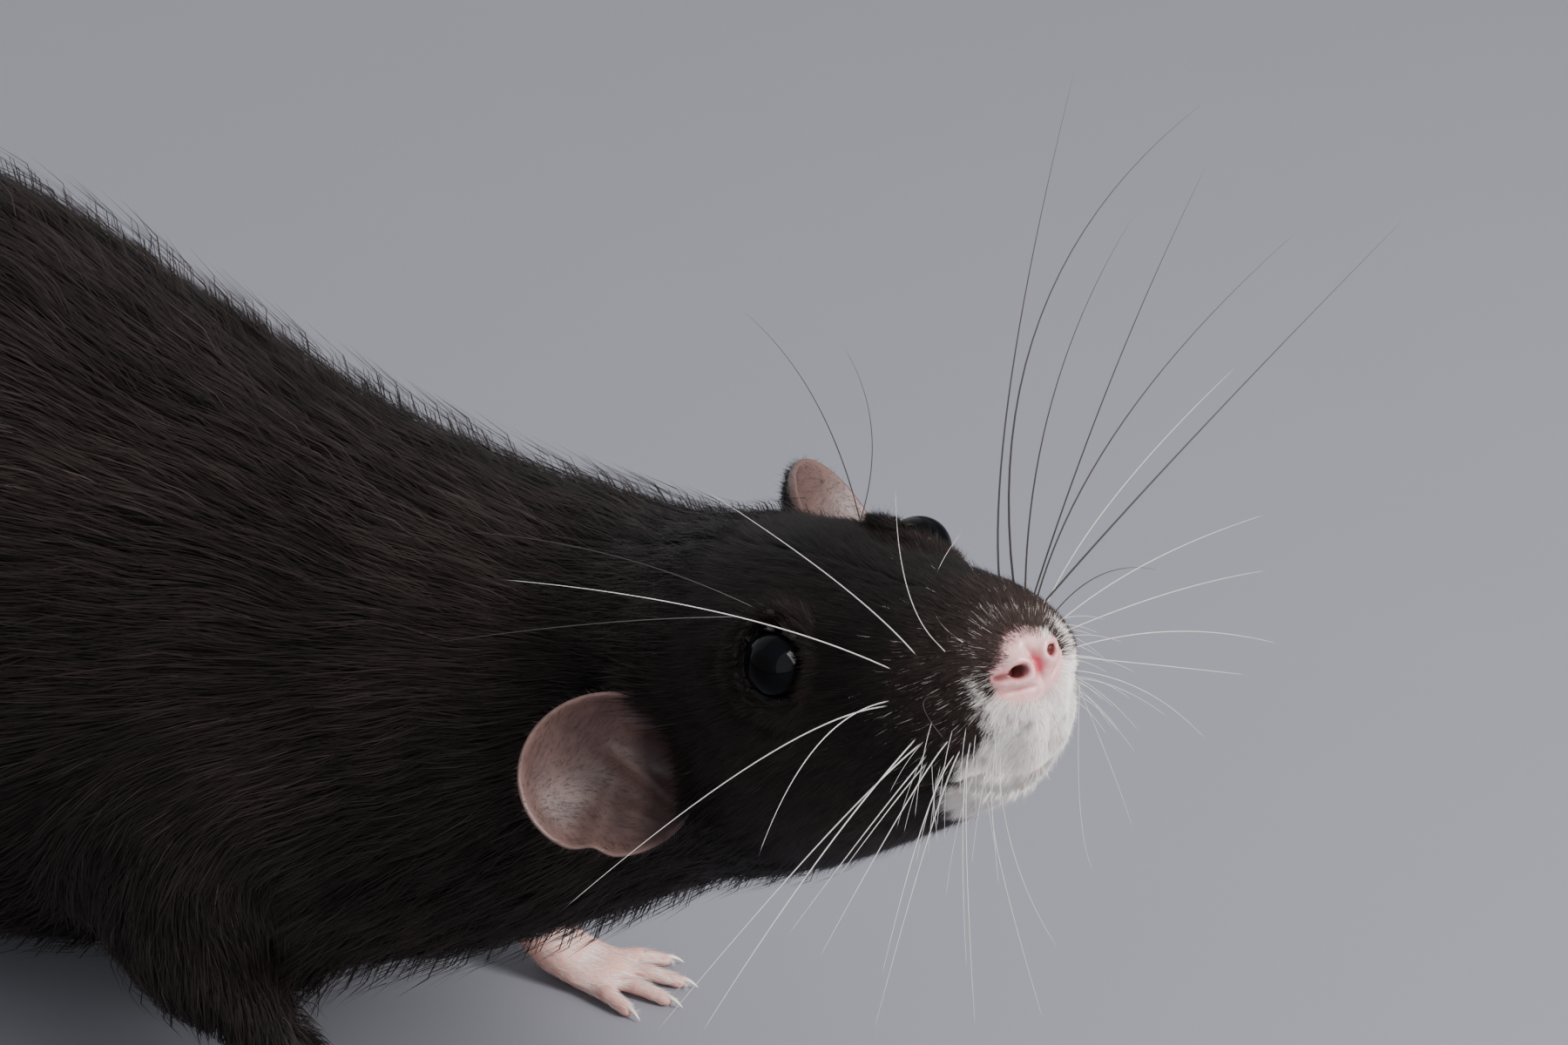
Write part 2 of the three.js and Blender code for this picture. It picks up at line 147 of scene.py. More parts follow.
def to_segment(points: Array, start: Array, end: Array) -> tuple[Array, Array]:
    """Distance of points from a straight piece of line.

    Args:
        points: the places, one to a row.
        start: one end of the line.
        end: its other end.

    Returns:
        The distance of each point, and its share of the way from start to end.
    """
    along = end - start
    share = np.clip(((points - start) @ along) / (along @ along), 0.0, 1.0)
    gap = points - start - share[:, None] * along
    return np.sqrt((gap * gap).sum(-1)), share


@dataclass(frozen=True)
class Ripple:
    """Smooth noise in space, as a sum of waves that run in many directions."""

    seed: int
    size: float
    waves: int = 14

    def at(self, points: Array) -> Array:
        """The noise at each point, mostly between -1 and 1.

        Args:
            points: the places, one to a row.

        Returns:
            A number for each.
        """
        rng = np.random.default_rng(self.seed)
        ways = unit(rng.normal(size=(self.waves, 3)))
        rates = (2 * pi / self.size) * rng.uniform(0.55, 1.5, self.waves)
        phases = rng.uniform(0, 2 * pi, self.waves)
        total = np.zeros(len(points), Real)
        for way, rate, phase in zip(ways, rates, phases):
            total += np.sin(points @ (way * rate).astype(Real) + Real(phase))
        return total / np.sqrt(self.waves / 2.0) * 0.7


# ---- Distance volumes ----
@dataclass
class Volume:
    """A number at each point of a regular grid in the part's frame, in millimetres."""

    values: Array
    low: Array
    step: float

    def at(self, points: Array) -> Array:
        """The volume's value at any points, straight between its grid points.

        Args:
            points: places in the part's frame.

        Returns:
            The value at each.
        """
        place = points / self.step - self.low
        limit = np.array(self.values.shape) - 2
        cell = np.clip(np.floor(place).astype(np.int32), 0, limit)
        part = np.clip(place - cell, 0.0, 1.0).astype(Real)
        _, ny, nz = self.values.shape
        flat = self.values.reshape(-1)
        base = (cell[:, 0] * ny + cell[:, 1]) * nz + cell[:, 2]
        total = np.zeros(len(points), Real)
        for i, j, k in np.ndindex(2, 2, 2):
            x, y, z = (part[:, a] if far else 1 - part[:, a] for a, far in enumerate((i, j, k)))
            total += x * y * z * flat[base + (i * ny + j) * nz + k]
        return total

    def softened(self, width: float) -> "Volume":
        """The volume blurred by a bell curve of `width` millimetres.

        Args:
            width: the curve's width.

        Returns:
            The blurred volume.
        """
        cells = width / self.step
        reach = max(1, ceil(2.6 * cells))
        weights = np.exp(-0.5 * (np.arange(-reach, reach + 1) / cells) ** 2)
        weights = (weights / weights.sum()).astype(Real)
        made = self.values
        for axis in range(3):
            pads = [(reach, reach) if a == axis else (0, 0) for a in range(3)]
            wide = np.pad(made, pads, mode="edge")
            made = np.zeros_like(self.values)
            for i, weight in enumerate(weights):
                window = [slice(None)] * 3
                window[axis] = slice(i, i + self.values.shape[axis])
                made += weight * wide[tuple(window)]
        return Volume(made, self.low, self.step)

    def finer(self) -> "Volume":
        """The same volume on a grid of half the step.

        Returns:
            The finer volume.
        """
        made = self.values
        for axis in range(3):
            made = np.moveaxis(made, axis, 0)
            wide = np.empty((2 * len(made) - 1, *made.shape[1:]), Real)
            wide[::2] = made
            wide[1::2] = 0.5 * (made[:-1] + made[1:])
            made = np.moveaxis(wide, 0, axis)
        return Volume(np.ascontiguousarray(made), self.low * 2, self.step / 2)


@dataclass
class Lattice:
    """The two grids that all volumes share: a coarse one, and one of half its step."""

    step: float = 1.4
    margin: float = 7.0
    low: Array = field(init=False)
    shape: tuple[int, int, int] = field(init=False)

    def __post_init__(self) -> None:
        """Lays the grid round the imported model."""
        low, high = (np.array(corner) / MM for corner in CAD_BOX)
        self.low = np.floor((low - self.margin) / self.step).astype(int)
        top = np.ceil((high + self.margin) / self.step).astype(int)
        self.shape = tuple(int(n) for n in top - self.low + 1)

    def distances(self, points: Array, faces: Array, reach: float, fine: bool = False) -> Volume:
        """Signed distances from closed meshes, negative inside.

        Args:
            points: the meshes' vertices, in millimetres.
            faces: their triangles or quads.
            reach: how far from the surface the distances stay true.
            fine: whether to use the finer grid.

        Returns:
            The distances as a volume.
        """
        step = self.step / 2 if fine else self.step
        low = self.low * 2 if fine else self.low
        shape = tuple(2 * n - 1 for n in self.shape) if fine else self.shape
        kind = {"quads": faces} if faces.shape[1] == 4 else {"triangles": faces}
        grid = vdb.FloatGrid.createLevelSetFromPolygons(
            points.astype(Real),
            transform=vdb.createLinearTransform(voxelSize=step),
            halfWidth=reach / step,
            **kind,
        )
        values = np.empty(shape, Real)
        grid.copyToArray(values, ijk=tuple(int(n) for n in low))
        return Volume(values, low, step)

    def places(self) -> Array:
        """Every point of the coarse grid, one to a row."""
        return grid_points(self.low, (0, 0, 0), self.shape, self.step)


def node_meshes(names: tuple[str, ...]) -> tuple[Array, Array]:
    """Vertices in millimetres and triangles of some CAD nodes together.

    Args:
        names: the nodes' names.

    Returns:
        The vertices, and the triangles.
    """
    points, faces, count = [], [], 0
    for name in names:
        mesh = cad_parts[name].data
        mesh.calc_loop_triangles()
        place = np.empty(len(mesh.vertices) * 3, Real)
        mesh.vertices.foreach_get("co", place)
        corners = np.empty(len(mesh.loop_triangles) * 3, np.int32)
        mesh.loop_triangles.foreach_get("vertices", corners)
        points.append(place.reshape(-1, 3) / MM)
        faces.append(corners.reshape(-1, 3) + count)
        count += len(points[-1])
    return np.concatenate(points), np.concatenate(faces).astype(np.uint32)


# ---- The head's own frame, and what is placed in it ----
@dataclass(frozen=True)
class Head:
    """The head's frame: x to its left, y to its nape, z to its crown, in millimetres."""

    origin: Triple = (STAND[0] - 10.5, STAND[1] - 102.0, 67.0)
    pitch: float = -23.2
    roll: float = -14.7
    yaw: float = -21.2

    @property
    def turn(self) -> Array:
        """The head's axes as the columns of a matrix."""
        parts = [
            Matrix.Rotation(radians(self.yaw), 3, "Z"),
            Matrix.Rotation(radians(self.pitch), 3, "X"),
            Matrix.Rotation(radians(self.roll), 3, "Y"),
        ]
        return np.array(parts[0] @ parts[1] @ parts[2], Real)

    def into(self, points: Array) -> Array:
        """Points of the part's frame in the head's frame."""
        return (points - vec(*self.origin)) @ self.turn

    def out(self, points: Array) -> Array:
        """Points of the head's frame in the part's frame."""
        return points @ self.turn.T + vec(*self.origin)

    def way(self, directions: Array) -> Array:
        """Directions of the head's frame in the part's frame."""
        return directions @ self.turn.T


HEAD = Head()


@dataclass(frozen=True)
class EyePlace:
    """Where an eye sits in the head, how large it is and how far its lids close."""

    side: int
    radius: float = 3.1
    opening: float = 69.0

    @property
    def centre(self) -> Array:
        """The middle of the ball, in the head's frame."""
        return vec(self.side * 9.3, -2.5, 1.0)

    @property
    def axis(self) -> Array:
        """The way that the eye looks, in the head's frame."""
        return unit(vec(self.side * 0.84, -0.34, 0.42))

    def away(self, points: Array) -> Array:
        """How far points of the head's frame lie from the middle of the ball."""
        return length(points - self.centre)[:, 0]

    def lidded(self, points: Array, flesh: Array) -> Array:
        """Adds the rims of the lids to the flesh and opens the socket.

        Args:
            points: places in the head's frame.
            flesh: the distance of each from the flesh without an eye.

        Returns:
            The distance from the flesh with its socket and lids.
        """
        gap = points - self.centre
        height = gap @ self.axis
        away = np.sqrt(np.maximum((gap * gap).sum(-1) - height**2, 0.0))
        corner = vec(0.0, 1.0, -0.25)
        corner -= (corner @ self.axis) * self.axis
        corner /= np.sqrt(corner @ corner)
        along = (gap @ corner) / np.maximum(away, 1e-6)
        reach = self.radius * sin(radians(self.opening)) * (1 + 0.07 * along**4)
        level = self.radius * cos(radians(self.opening))
        rim = np.hypot(away - reach - 0.32, height - level + 0.05) - 0.4
        fold = np.hypot(away - reach - 1.55, height - level + 1.0) - 0.45
        made = joined_low(flesh, fold, 1.3)
        trough = 0.16 * bell(away - reach - 0.95, 0.3) * bell(height - level, 1.2)
        made = joined_low(made + trough, rim, 0.5)
        mouth = np.maximum(away - reach, level - 1.2 - height)
        made = -joined_low(-made, mouth, 0.25)
        ball = np.sqrt((gap * gap).sum(-1)) - self.radius - 0.03
        return np.maximum(made, -ball)


@dataclass(frozen=True)
class EarPlace:
    """An ear: a thin bowl with a rolled rim and folds near its root, in the head's frame."""

    side: int
    root: Triple
    out: Triple
    face: Triple
    radius: float = 8.0
    bowl: float = 4.2

    @property
    def axes(self) -> Array:
        """Rows: out from the root, the way that it opens, and its top edge.

        Returns:
            The three rows.
        """
        away = unit(np.array(self.out))
        front = unit(np.array(self.face) - (np.array(self.face) @ away) * away)
        return np.stack([away, front, -self.side * np.cross(away, front)]).astype(Real)

    @property
    def centre(self) -> Array:
        """The middle of the bowl's mouth."""
        return (np.array(self.root) + 4.6 * self.axes[0]).astype(Real)

    def local(self, points: Array) -> Array:
        """Points of the head's frame in the ear's."""
        return (points - self.centre) @ self.axes.T

    def outline(self, angle: Array) -> Array:
        """How far the rim lies from the middle, with a notch at the lower root."""
        notch = np.exp(-(((angle - 5.05) / 0.2) ** 2)) * 0.1
        return self.radius * (1 + 0.05 * np.cos(2 * angle) - notch)

    def shares(self, place: Array) -> tuple[Array, Array]:
        """Reach from the middle as a share of the outline, and the outline there."""
        rim = self.outline(np.mod(np.arctan2(place[:, 2], place[:, 0]), 2 * pi))
        return np.hypot(place[:, 0], place[:, 2]) / rim, rim

    def tone(self, points: Array) -> Array:
        """How deep the colour is on the bare inside, from 0 at the rim to 1 in the folds: a paler rim and
        deeper middle of its own, with painted shade towards the root and in the canal, and the fold ridges
        painted lighter.

        Args:
            points: places in the head's frame.

        Returns:
            The depth at each.
        """
        place = self.local(points)
        share, _ = self.shares(place)
        # painted shade: deeper towards the root and in the canal, with the fold ridges painted lighter than
        # their hollows
        made = 0.14 + 0.17 * ramp(0.98, 0.74, share) + 1.5 * ramp(-1.5, -5.6, place[:, 0])
        return made - 0.5 * np.clip(self.folds(place, share), -0.6, 0.6)

    def inside(self, points: Array) -> Array:
        """Which points of the head's frame lie on the bowl's inner face.

        Args:
            points: places in the head's frame.

        Returns:
            True for each that does.
        """
        place = self.local(points)
        share, _ = self.shares(place)
        return (place[:, 1] + self.bowl * (1 - np.minimum(share, 1.0) ** 1.8) > 0) & (share < 1.15)

    def folds(self, place: Array, share: Array) -> Array:
        """How far the folds stand out of the bowl's inner face.

        Args:
            place: places in the ear's frame.
            share: their reach as a share of the outline.

        Returns:
            The height of the folds at each.
        """
        x, z = place[:, 0], place[:, 2]
        flat = np.stack([x, z], -1)
        ridge, along = to_segment(flat, np.array([-5.5, -3.2]), np.array([1.5, 3.4]))
        main = 0.75 * bell(ridge, 0.85) * (1 - ramp(0.6, 1.0, along))
        ridge, along = to_segment(flat, np.array([-6.0, 2.8]), np.array([-1.0, 4.8]))
        upper = 0.6 * bell(ridge, 0.7) * (1 - ramp(0.5, 1.0, along))
        ridge, along = to_segment(flat, np.array([-4.6, -5.4]), np.array([0.5, -2.6]))
        lower = 0.5 * bell(ridge, 0.7) * (1 - ramp(0.5, 1.0, along))
        canal = -1.6 * bell(np.hypot(x + 6.2, z + 0.4), 1.7)
        rim = 0.35 * bell(share - 0.95, 0.07)
        return main + upper + lower + canal + rim

    def distance(self, points: Array, spare: float = 0.0) -> Array:
        """Distance of points of the head's frame from the ear's thin flesh.

        Args:
            points: places in the head's frame.
            spare: flesh added on both faces, in millimetres.

        Returns:
            Signed distances, negative inside.
        """
        place = self.local(points)
        share, rim = self.shares(place)
        inner = np.minimum(share, 1.0)
        depth = self.bowl * (1 - inner**1.8)
        slope = self.bowl * 1.8 / rim * inner**0.8
        off = place[:, 1] + depth
        lift = self.folds(place, share)
        half = mix(0.62, 0.3, inner**1.5) + 0.9 * bell(place[:, 0] + 7.5, 2.6)
        middle = np.where(off > 0, off - 0.9 * lift, off) + 0.25 * (1 - inner)
        across = np.abs(middle) / np.sqrt(1 + slope**2) - (half - 0.3)
        beyond = share * rim - (rim - 0.35)
        inside = np.minimum(np.maximum(across, beyond), 0.0)
        outside = np.hypot(np.maximum(across, 0.0), np.maximum(beyond, 0.0))
        return inside + outside - 0.3 - spare


EYES = {"left": EyePlace(1), "right": EyePlace(-1)}
EARS = {
    "left": EarPlace(1, (14.4, 15.8, -3.6), (0.6, 0.62, 0.52), (0.66, -0.7, 0.26)),
    "right": EarPlace(-1, (-14.8, 15.0, -6.6), (-0.7, 0.62, 0.34), (-0.6, -0.74, 0.28)),
}
NOSE_PAD = vec(0.0, -23.2, -4.9)


def eye_gap(place: Array) -> Array:
    """How far each point of the head's frame lies from the middle of the nearer eye."""
    return np.minimum(*(eye.away(place) for eye in EYES.values()))


@dataclass(frozen=True)
class Muzzle:
    """The nose, lips and chin, cut and raised on the head's plain form."""

    nostril: tuple[Triple, ...] = ((1.7, -25.3, -4.6), (2.15, -25.0, -4.65), (3.4, -23.2, -4.2))
    pad_size: Triple = (3.9, 3.4, 3.7)
    spots: tuple[Triple, ...] = (
        (3.4, -23.3, -7.8), (2.2, -23.4, -9.0), (3.0, -22.8, -9.8), (4.6, -21.6, -9.0),
        (4.0, -21.6, -11.0), (5.6, -20.2, -8.0), (1.6, -22.9, -10.9), (5.4, -19.8, -10.6),
    )

    def mouth_height(self, points: Array) -> Array:
        """How far each point lies above the line between the lips."""
        arch = 0.08 * np.minimum(points[:, 0] ** 2, 36.0)
        return points[:, 2] - (-15.7 + arch + 0.12 * (points[:, 1] + 18.0))

    def lateral(self, points: Array) -> Array:
        """How far each point lies to the left of the nose's own middle."""
        return points[:, 0] + 0.6 * ramp(-17.0, -23.0, points[:, 1])

    def nostrils(self, points: Array) -> Array:
        """Distance of each point from the nearer nostril and its slit; the left one is drawn in.

        Args:
            points: places in the head's frame.

        Returns:
            The distances, negative inside.
        """
        flat = points.copy()
        closed = 0.2 * ramp(-0.2, 0.4, self.lateral(points))
        flat[:, 0] = np.abs(self.lateral(points))
        first, second, third = (vec(*p) for p in self.nostril)
        hole, share = to_segment(flat, first, second)
        slit, far = to_segment(flat, second, third)
        pit, _ = to_segment(flat, first, first + vec(0.3, 2.4, 0.3))
        made = joined_low(hole - mix(0.6, 0.44, share), slit - mix(0.3, 0.1, far), 0.3)
        return joined_low(made, pit - 0.5, 0.3) + closed

    def pad_reach(self, points: Array) -> Array:
        """How far out each point lies from the nose pad, as a share of the pad.

        Args:
            points: places in the head's frame.

        Returns:
            The shares, with 1 at the pad's edge.
        """
        gap = points - NOSE_PAD
        gap[:, 0] = self.lateral(points)
        gap[:, 2] *= 1 + 0.16 * ramp(0.0, -2.0, gap[:, 2])
        return length(gap / vec(*self.pad_size))[:, 0]

    def crease(self, points: Array) -> Array:
        """The crease under each nostril, from 0 to 1.

        Args:
            points: places in the head's frame.

        Returns:
            Its strength at each.
        """
        away = np.abs(self.lateral(points))
        line = bell(points[:, 2] + 6.35 - 0.35 * (away - 1.5), 0.22)
        return line * ramp(0.5, 1.2, away) * ramp(3.9, 3.2, away)

    def spotted(self, points: Array) -> Array:
        """The small dark spots on the lips where whiskers grow, from 0 to 1.

        Args:
            points: places in the head's frame.

        Returns:
            Their strength at each.
        """
        flat = points.copy()
        flat[:, 0] = np.abs(self.lateral(points))
        made = np.zeros(len(points), Real)
        for spot in self.spots:
            made = np.maximum(made, bell(length(flat - vec(*spot))[:, 0], 0.36))
        return made

    def flush(self, points: Array) -> Array:
        """Where the bare nose is redder and darker: a little uneven redness of its own, and painted shade at
        its nostril rims, cleft and creases.

        Args:
            points: places in the head's frame.

        Returns:
            The redness at each.
        """
        x = self.lateral(points)
        holes = self.nostrils(points)
        cleft = bell(x, 0.6) * bell(points[:, 2] + 4.9, 1.1)
        # painted shade: the colour deepens round the nostrils, in the cleft and along the creases
        made = np.maximum(0.55 * bell(np.maximum(holes, 0), 0.35), 1.45 * cleft)
        return np.maximum(made, 0.6 * self.crease(points)) + 0.12 * Ripple(9, 0.9).at(points)

    def shaped(self, points: Array, flesh: Array) -> Array:
        """Cuts the nostrils, the cleft and the mouth, and raises the pads and lips.

        Args:
            points: places in the head's frame.
            flesh: the distance of each from the plain form.

        Returns:
            The distance from the shaped muzzle.
        """
        x, y, z = self.lateral(points), points[:, 1], points[:, 2]
        made = flesh.copy()
        height = self.mouth_height(points)
        lips = ramp(-6.5, -10.0, y)
        made += lips * (0.75 * bell(height, 0.3) * ramp(-9.0, -13.0, y) - 0.3 * bell(height - 1.1, 0.8))
        made -= lips * 0.35 * bell(height + 1.0, 0.8) * bell(x, 4.0)
        below_nose = ramp(-6.5, -8.5, z) * ramp(0.0, 0.8, height)
        made += 0.16 * bell(x, 0.28) * below_nose * ramp(-15.0, -18.0, y)
        made -= 0.3 * bell(np.abs(x) - 1.8, 1.2) * below_nose * ramp(-15.0, -19.0, y)
        made += 0.6 * bell(z + 11.0, 2.2) * ramp(2.0, 4.0, np.abs(x)) * ramp(-16.0, -19.0, y)
        front = ramp(-22.6, -23.8, y)
        cleft = (0.45 * bell(x, 0.75) + 0.3 * bell(x, 0.25)) * ramp(-2.4, -4.0, z) * ramp(-7.6, -5.8, z)
        made += cleft * front
        made += 0.24 * self.crease(points) * front
        made -= 0.3 * bell(np.hypot(np.abs(x) - 1.9, z + 3.0), 0.9) * front
        side = bell(np.abs(x) - 3.9, 0.35) * bell(z + 4.6, 1.6) * ramp(-20.5, -21.5, y)
        made += 0.25 * side
        hole = self.nostrils(points)
        made -= 0.3 * bell(hole - 0.42, 0.4) * ramp(-21.8, -23.2, y)
        return -joined_low(-made, hole, 0.22)


MUZZLE = Muzzle()


@dataclass(frozen=True)
class TailLine:
    """The line down the middle of the tail, in the part's frame."""

    bend: float = 33.0
    root: float = 5.4
    tip: float = 1.0

    def points(self) -> Array:
        """Many even points from the tail's root to its tip.

        Returns:
            The points, one to a row.
        """
        arc = [
            (self.bend + self.bend * cos(radians(a)), 104 + self.bend * 0.7 * sin(radians(a)), 0)
            for a in (155, 115, 75, 35, 0)
        ]
        ends = [(2 * self.bend - 1, 82, 0), (2 * self.bend - 5, 58, 0), (2 * self.bend - 5, 34, 0)]
        posts = np.array([(0, 78, 19), (-1, 88, 9.5), (-2, 98.5, 5.4), *arc, *ends], float)
        posts[:, :2] += STAND
        wide = np.concatenate([[2 * posts[0] - posts[1]], posts, [2 * posts[-1] - posts[-2]]])
        made = []
        for a, b, c, d in zip(wide, wide[1:], wide[2:], wide[3:]):
            t = np.linspace(0, 1, 40, endpoint=False)[:, None]
            square, cube = 2 * a - 5 * b + 4 * c - d, 3 * b - a - 3 * c + d
            made.append(0.5 * (2 * b + (c - a) * t + square * t**2 + cube * t**3))
        line = np.concatenate([*made, posts[-1:]])
        steps = np.concatenate([[0], np.cumsum(length(np.diff(line, axis=0))[:, 0])])
        even = np.linspace(0, steps[-1], TAIL_POINTS)
        line = np.stack([np.interp(even, steps, line[:, i]) for i in range(3)], -1)
        share = even / steps[-1]
        radius = self.root + (self.tip - self.root) * share**0.85
        drop = line[:, 2] - radius * 0.9
        line[:, 2] = radius * 0.9 + 0.5 * (drop + np.hypot(drop, 0.5 * radius))
        return line.astype(Real)

    def nearest(self, points: Array) -> Array:
        """The number of the line's own point that lies nearest to each point.

        Args:
            points: places in the part's frame.

        Returns:
            A number for each.
        """
        line = self.points()
        made = np.zeros(len(points), np.int64)
        for rows in np.array_split(np.arange(len(points)), max(1, len(points) // BATCH)):
            gaps = ((points[rows, None] - line[None]) ** 2).sum(-1)
            made[rows] = gaps.argmin(1)
        return made


@dataclass(frozen=True)
class FootPlace:
    """A foot on the floor: where its wrist or heel stands, its turn, and its digits."""

    at: tuple[float, float]
    turn: float
    thick: float
    claw: float
    digits: tuple[tuple[float, float, float, float], ...]

    @property
    def spin(self) -> Array:
        """The foot's turn on the floor, as a matrix."""
        return np.array(Matrix.Rotation(radians(self.turn), 3, "Z"))

    @property
    def middle(self) -> Array:
        """The middle of the foot, in the part's frame."""
        return self.out(np.array([[0.0, -14.0, 2.0]]))[0]

    def out(self, points: Array) -> Array:
        """Points of the foot's frame in the part's frame."""
        return points @ self.spin.T + np.array([self.at[0] + STAND[0], self.at[1] + STAND[1], 0])

    def ahead(self) -> Array:
        """The way that the toes point, in the part's frame."""
        return np.array([sin(radians(self.turn)), -cos(radians(self.turn)), 0.0])

    def reach(self, points: Array) -> Array:
        """How far points of the part's frame lie from the middle of the toes."""
        middle = np.mean([d[1] for d in self.digits]) - 3.0
        return length(points - self.out(np.array([[0.0, middle, 1.0]], Real)))[:, 0]

    def toes(self, points: Array) -> Array:
        """Distance of points of the part's frame from the toes, with their joints and pads.

        Args:
            points: places in the part's frame.

        Returns:
            The distances, negative inside.
        """
        place = (points - self.out(np.zeros((1, 3), Real))).astype(Real)
        place = place @ self.spin.astype(Real)
        made = np.full(len(points), FAR, Real)
        t = self.thick
        for x, y, heading, reach in self.digits:
            way = heading_way(heading)
            steps = ((-1.8, 0.9, 0.8), (0.42, 1.06, 0.74), (0.7, 0.8, 0.64), (0.98, 0.6, 0.52))
            runs = [run if run < 0 else run * reach for run, _, _ in steps]
            spots = [np.array([x, y, step[1] * t]) + way * run for run, step in zip(runs, steps)]
            spots = [spot.astype(Real) for spot in spots]
            one = np.full(len(points), FAR, Real)
            for k in range(3):
                gap, share = to_segment(place, spots[k], spots[k + 1])
                one = joined_low(one, gap - t * mix(steps[k][2], steps[k + 1][2], share), 0.2)
            pad = np.array([x, y, 0.56 * t]) + way * 0.9 * reach
            one = joined_low(one, length(place - pad.astype(Real))[:, 0] - 0.56 * t, 0.3)
            made = joined_low(made, one, 0.35)
        return made


FORE_DIGITS = ((-3.1, -6.6, 24, 5.33), (-1.1, -8.3, 7, 6.2), (1.1, -8.3, -7, 6.2), (3.1, -6.6, -24, 5.21))
HIND_DIGITS = (
    (-4.4, -19.6, 26, 7.03),
    (-2.5, -23.8, 8, 9.5),
    (0.0, -24.6, 0, 9.98),
    (2.5, -23.8, -8, 9.5),
    (4.4, -19.6, -26, 7.41),
)
FEET = {
    "forepaw_left": FootPlace((17, -54), 6, 1.15, 1.6, FORE_DIGITS),
    "forepaw_right": FootPlace((-18, -49), -8, 1.15, 1.6, FORE_DIGITS),
    "hindfoot_left": FootPlace((27, 55), 12, 1.3, 2.2, HIND_DIGITS),
    "hindfoot_right": FootPlace((-28, 53), -12, 1.3, 2.2, HIND_DIGITS),
}


# ---- Meshes ----
def make_piece(name: str, points: Array, faces: list[Array]) -> Object:
    """A mesh object from arrays, riding on the animal's one body.

    Args:
        name: the piece's name.
        points: vertices in millimetres, in the part's frame.
        faces: arrays of faces, each array with one number of corners.

    Returns:
        The new object.
    """
    mesh = bpy.data.meshes.new(name)
    mesh.vertices.add(len(points))
    mesh.vertices.foreach_set("co", (points * MM).astype(Real).ravel())
    corners = np.concatenate([f.ravel() for f in faces]).astype(np.int32)
    totals = np.concatenate([np.full(len(f), f.shape[1]) for f in faces]).astype(np.int32)
    mesh.loops.add(len(corners))
    mesh.loops.foreach_set("vertex_index", corners)
    mesh.polygons.add(len(totals))
    starts = np.concatenate([[0], np.cumsum(totals)[:-1]]).astype(np.int32)
    mesh.polygons.foreach_set("loop_start", starts)
    mesh.update(calc_edges=True)
    mesh.polygons.foreach_set("use_smooth", np.full(len(totals), True))
    made = bpy.data.objects.new(name, mesh)
    bpy.context.scene.collection.objects.link(made)
    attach(made, "root")
    return made


def dress(piece: Object, finish: Material) -> None:
    """Gives a piece its material."""
    piece.data.materials.append(finish)


def put(piece: Object, name: str, values: Array) -> None:
    """Stores a number on each vertex of a piece."""
    mark = piece.data.attributes.new(name, "FLOAT", "POINT")
    mark.data.foreach_set("value", values.astype(Real).ravel())


def lay_out(piece: Object, places: Array) -> None:
    """Gives a piece the map that its colours are baked on, one place to each face corner."""
    layer = piece.data.uv_layers.new(name="OFBake")
    layer.data.foreach_set("uv", places.astype(Real).ravel())


def tube(line: Array, radii: Array, sides: int = 6) -> tuple[Array, list[Array]]:
    """A closed tapering tube along a line.

    Args:
        line: the points of its middle.
        radii: its radius at each of them; the last point closes to a tip.
        sides: corners round its section.

    Returns:
        Its vertices and faces.
    """
    along = unit(np.gradient(line, axis=0))
    side = np.cross(along, np.array([0.13, 0.21, 0.97]))
    side = unit(side)
    over = np.cross(along, side)
    angles = np.arange(sides) / sides * 2 * pi
    ring = (
        line[:-1, None] + radii[:-1, None, None] * np.cos(angles)[None, :, None] * side[:-1, None]
        + radii[:-1, None, None] * np.sin(angles)[None, :, None] * over[:-1, None]
    )
    rings = len(line) - 1
    points = np.concatenate([ring.reshape(-1, 3), line[-1:], line[:1]])
    index = np.arange(rings * sides).reshape(rings, sides)
    after = np.roll(index, -1, axis=1)
    walls = np.stack([index[:-1], after[:-1], after[1:], index[1:]], -1).reshape(-1, 4)
    tip = np.stack([index[-1], after[-1], np.full(sides, rings * sides)], -1)
    base = np.stack([after[0], index[0], np.full(sides, rings * sides + 1)], -1)
    return points, [walls[:, ::-1], np.concatenate([tip, base])[:, ::-1]]


def gathered(parts: list[tuple[Array, list[Array]]]) -> tuple[Array, list[Array]]:
    """Several meshes as one.

    Args:
        parts: the vertices and faces of each.

    Returns:
        The vertices and faces of all.
    """
    points, faces, count = [], {}, 0
    for place, groups in parts:
        points.append(place)
        for group in groups:
            faces.setdefault(group.shape[1], []).append(group + count)
        count += len(place)
    return np.concatenate(points), [np.concatenate(g) for g in faces.values()]


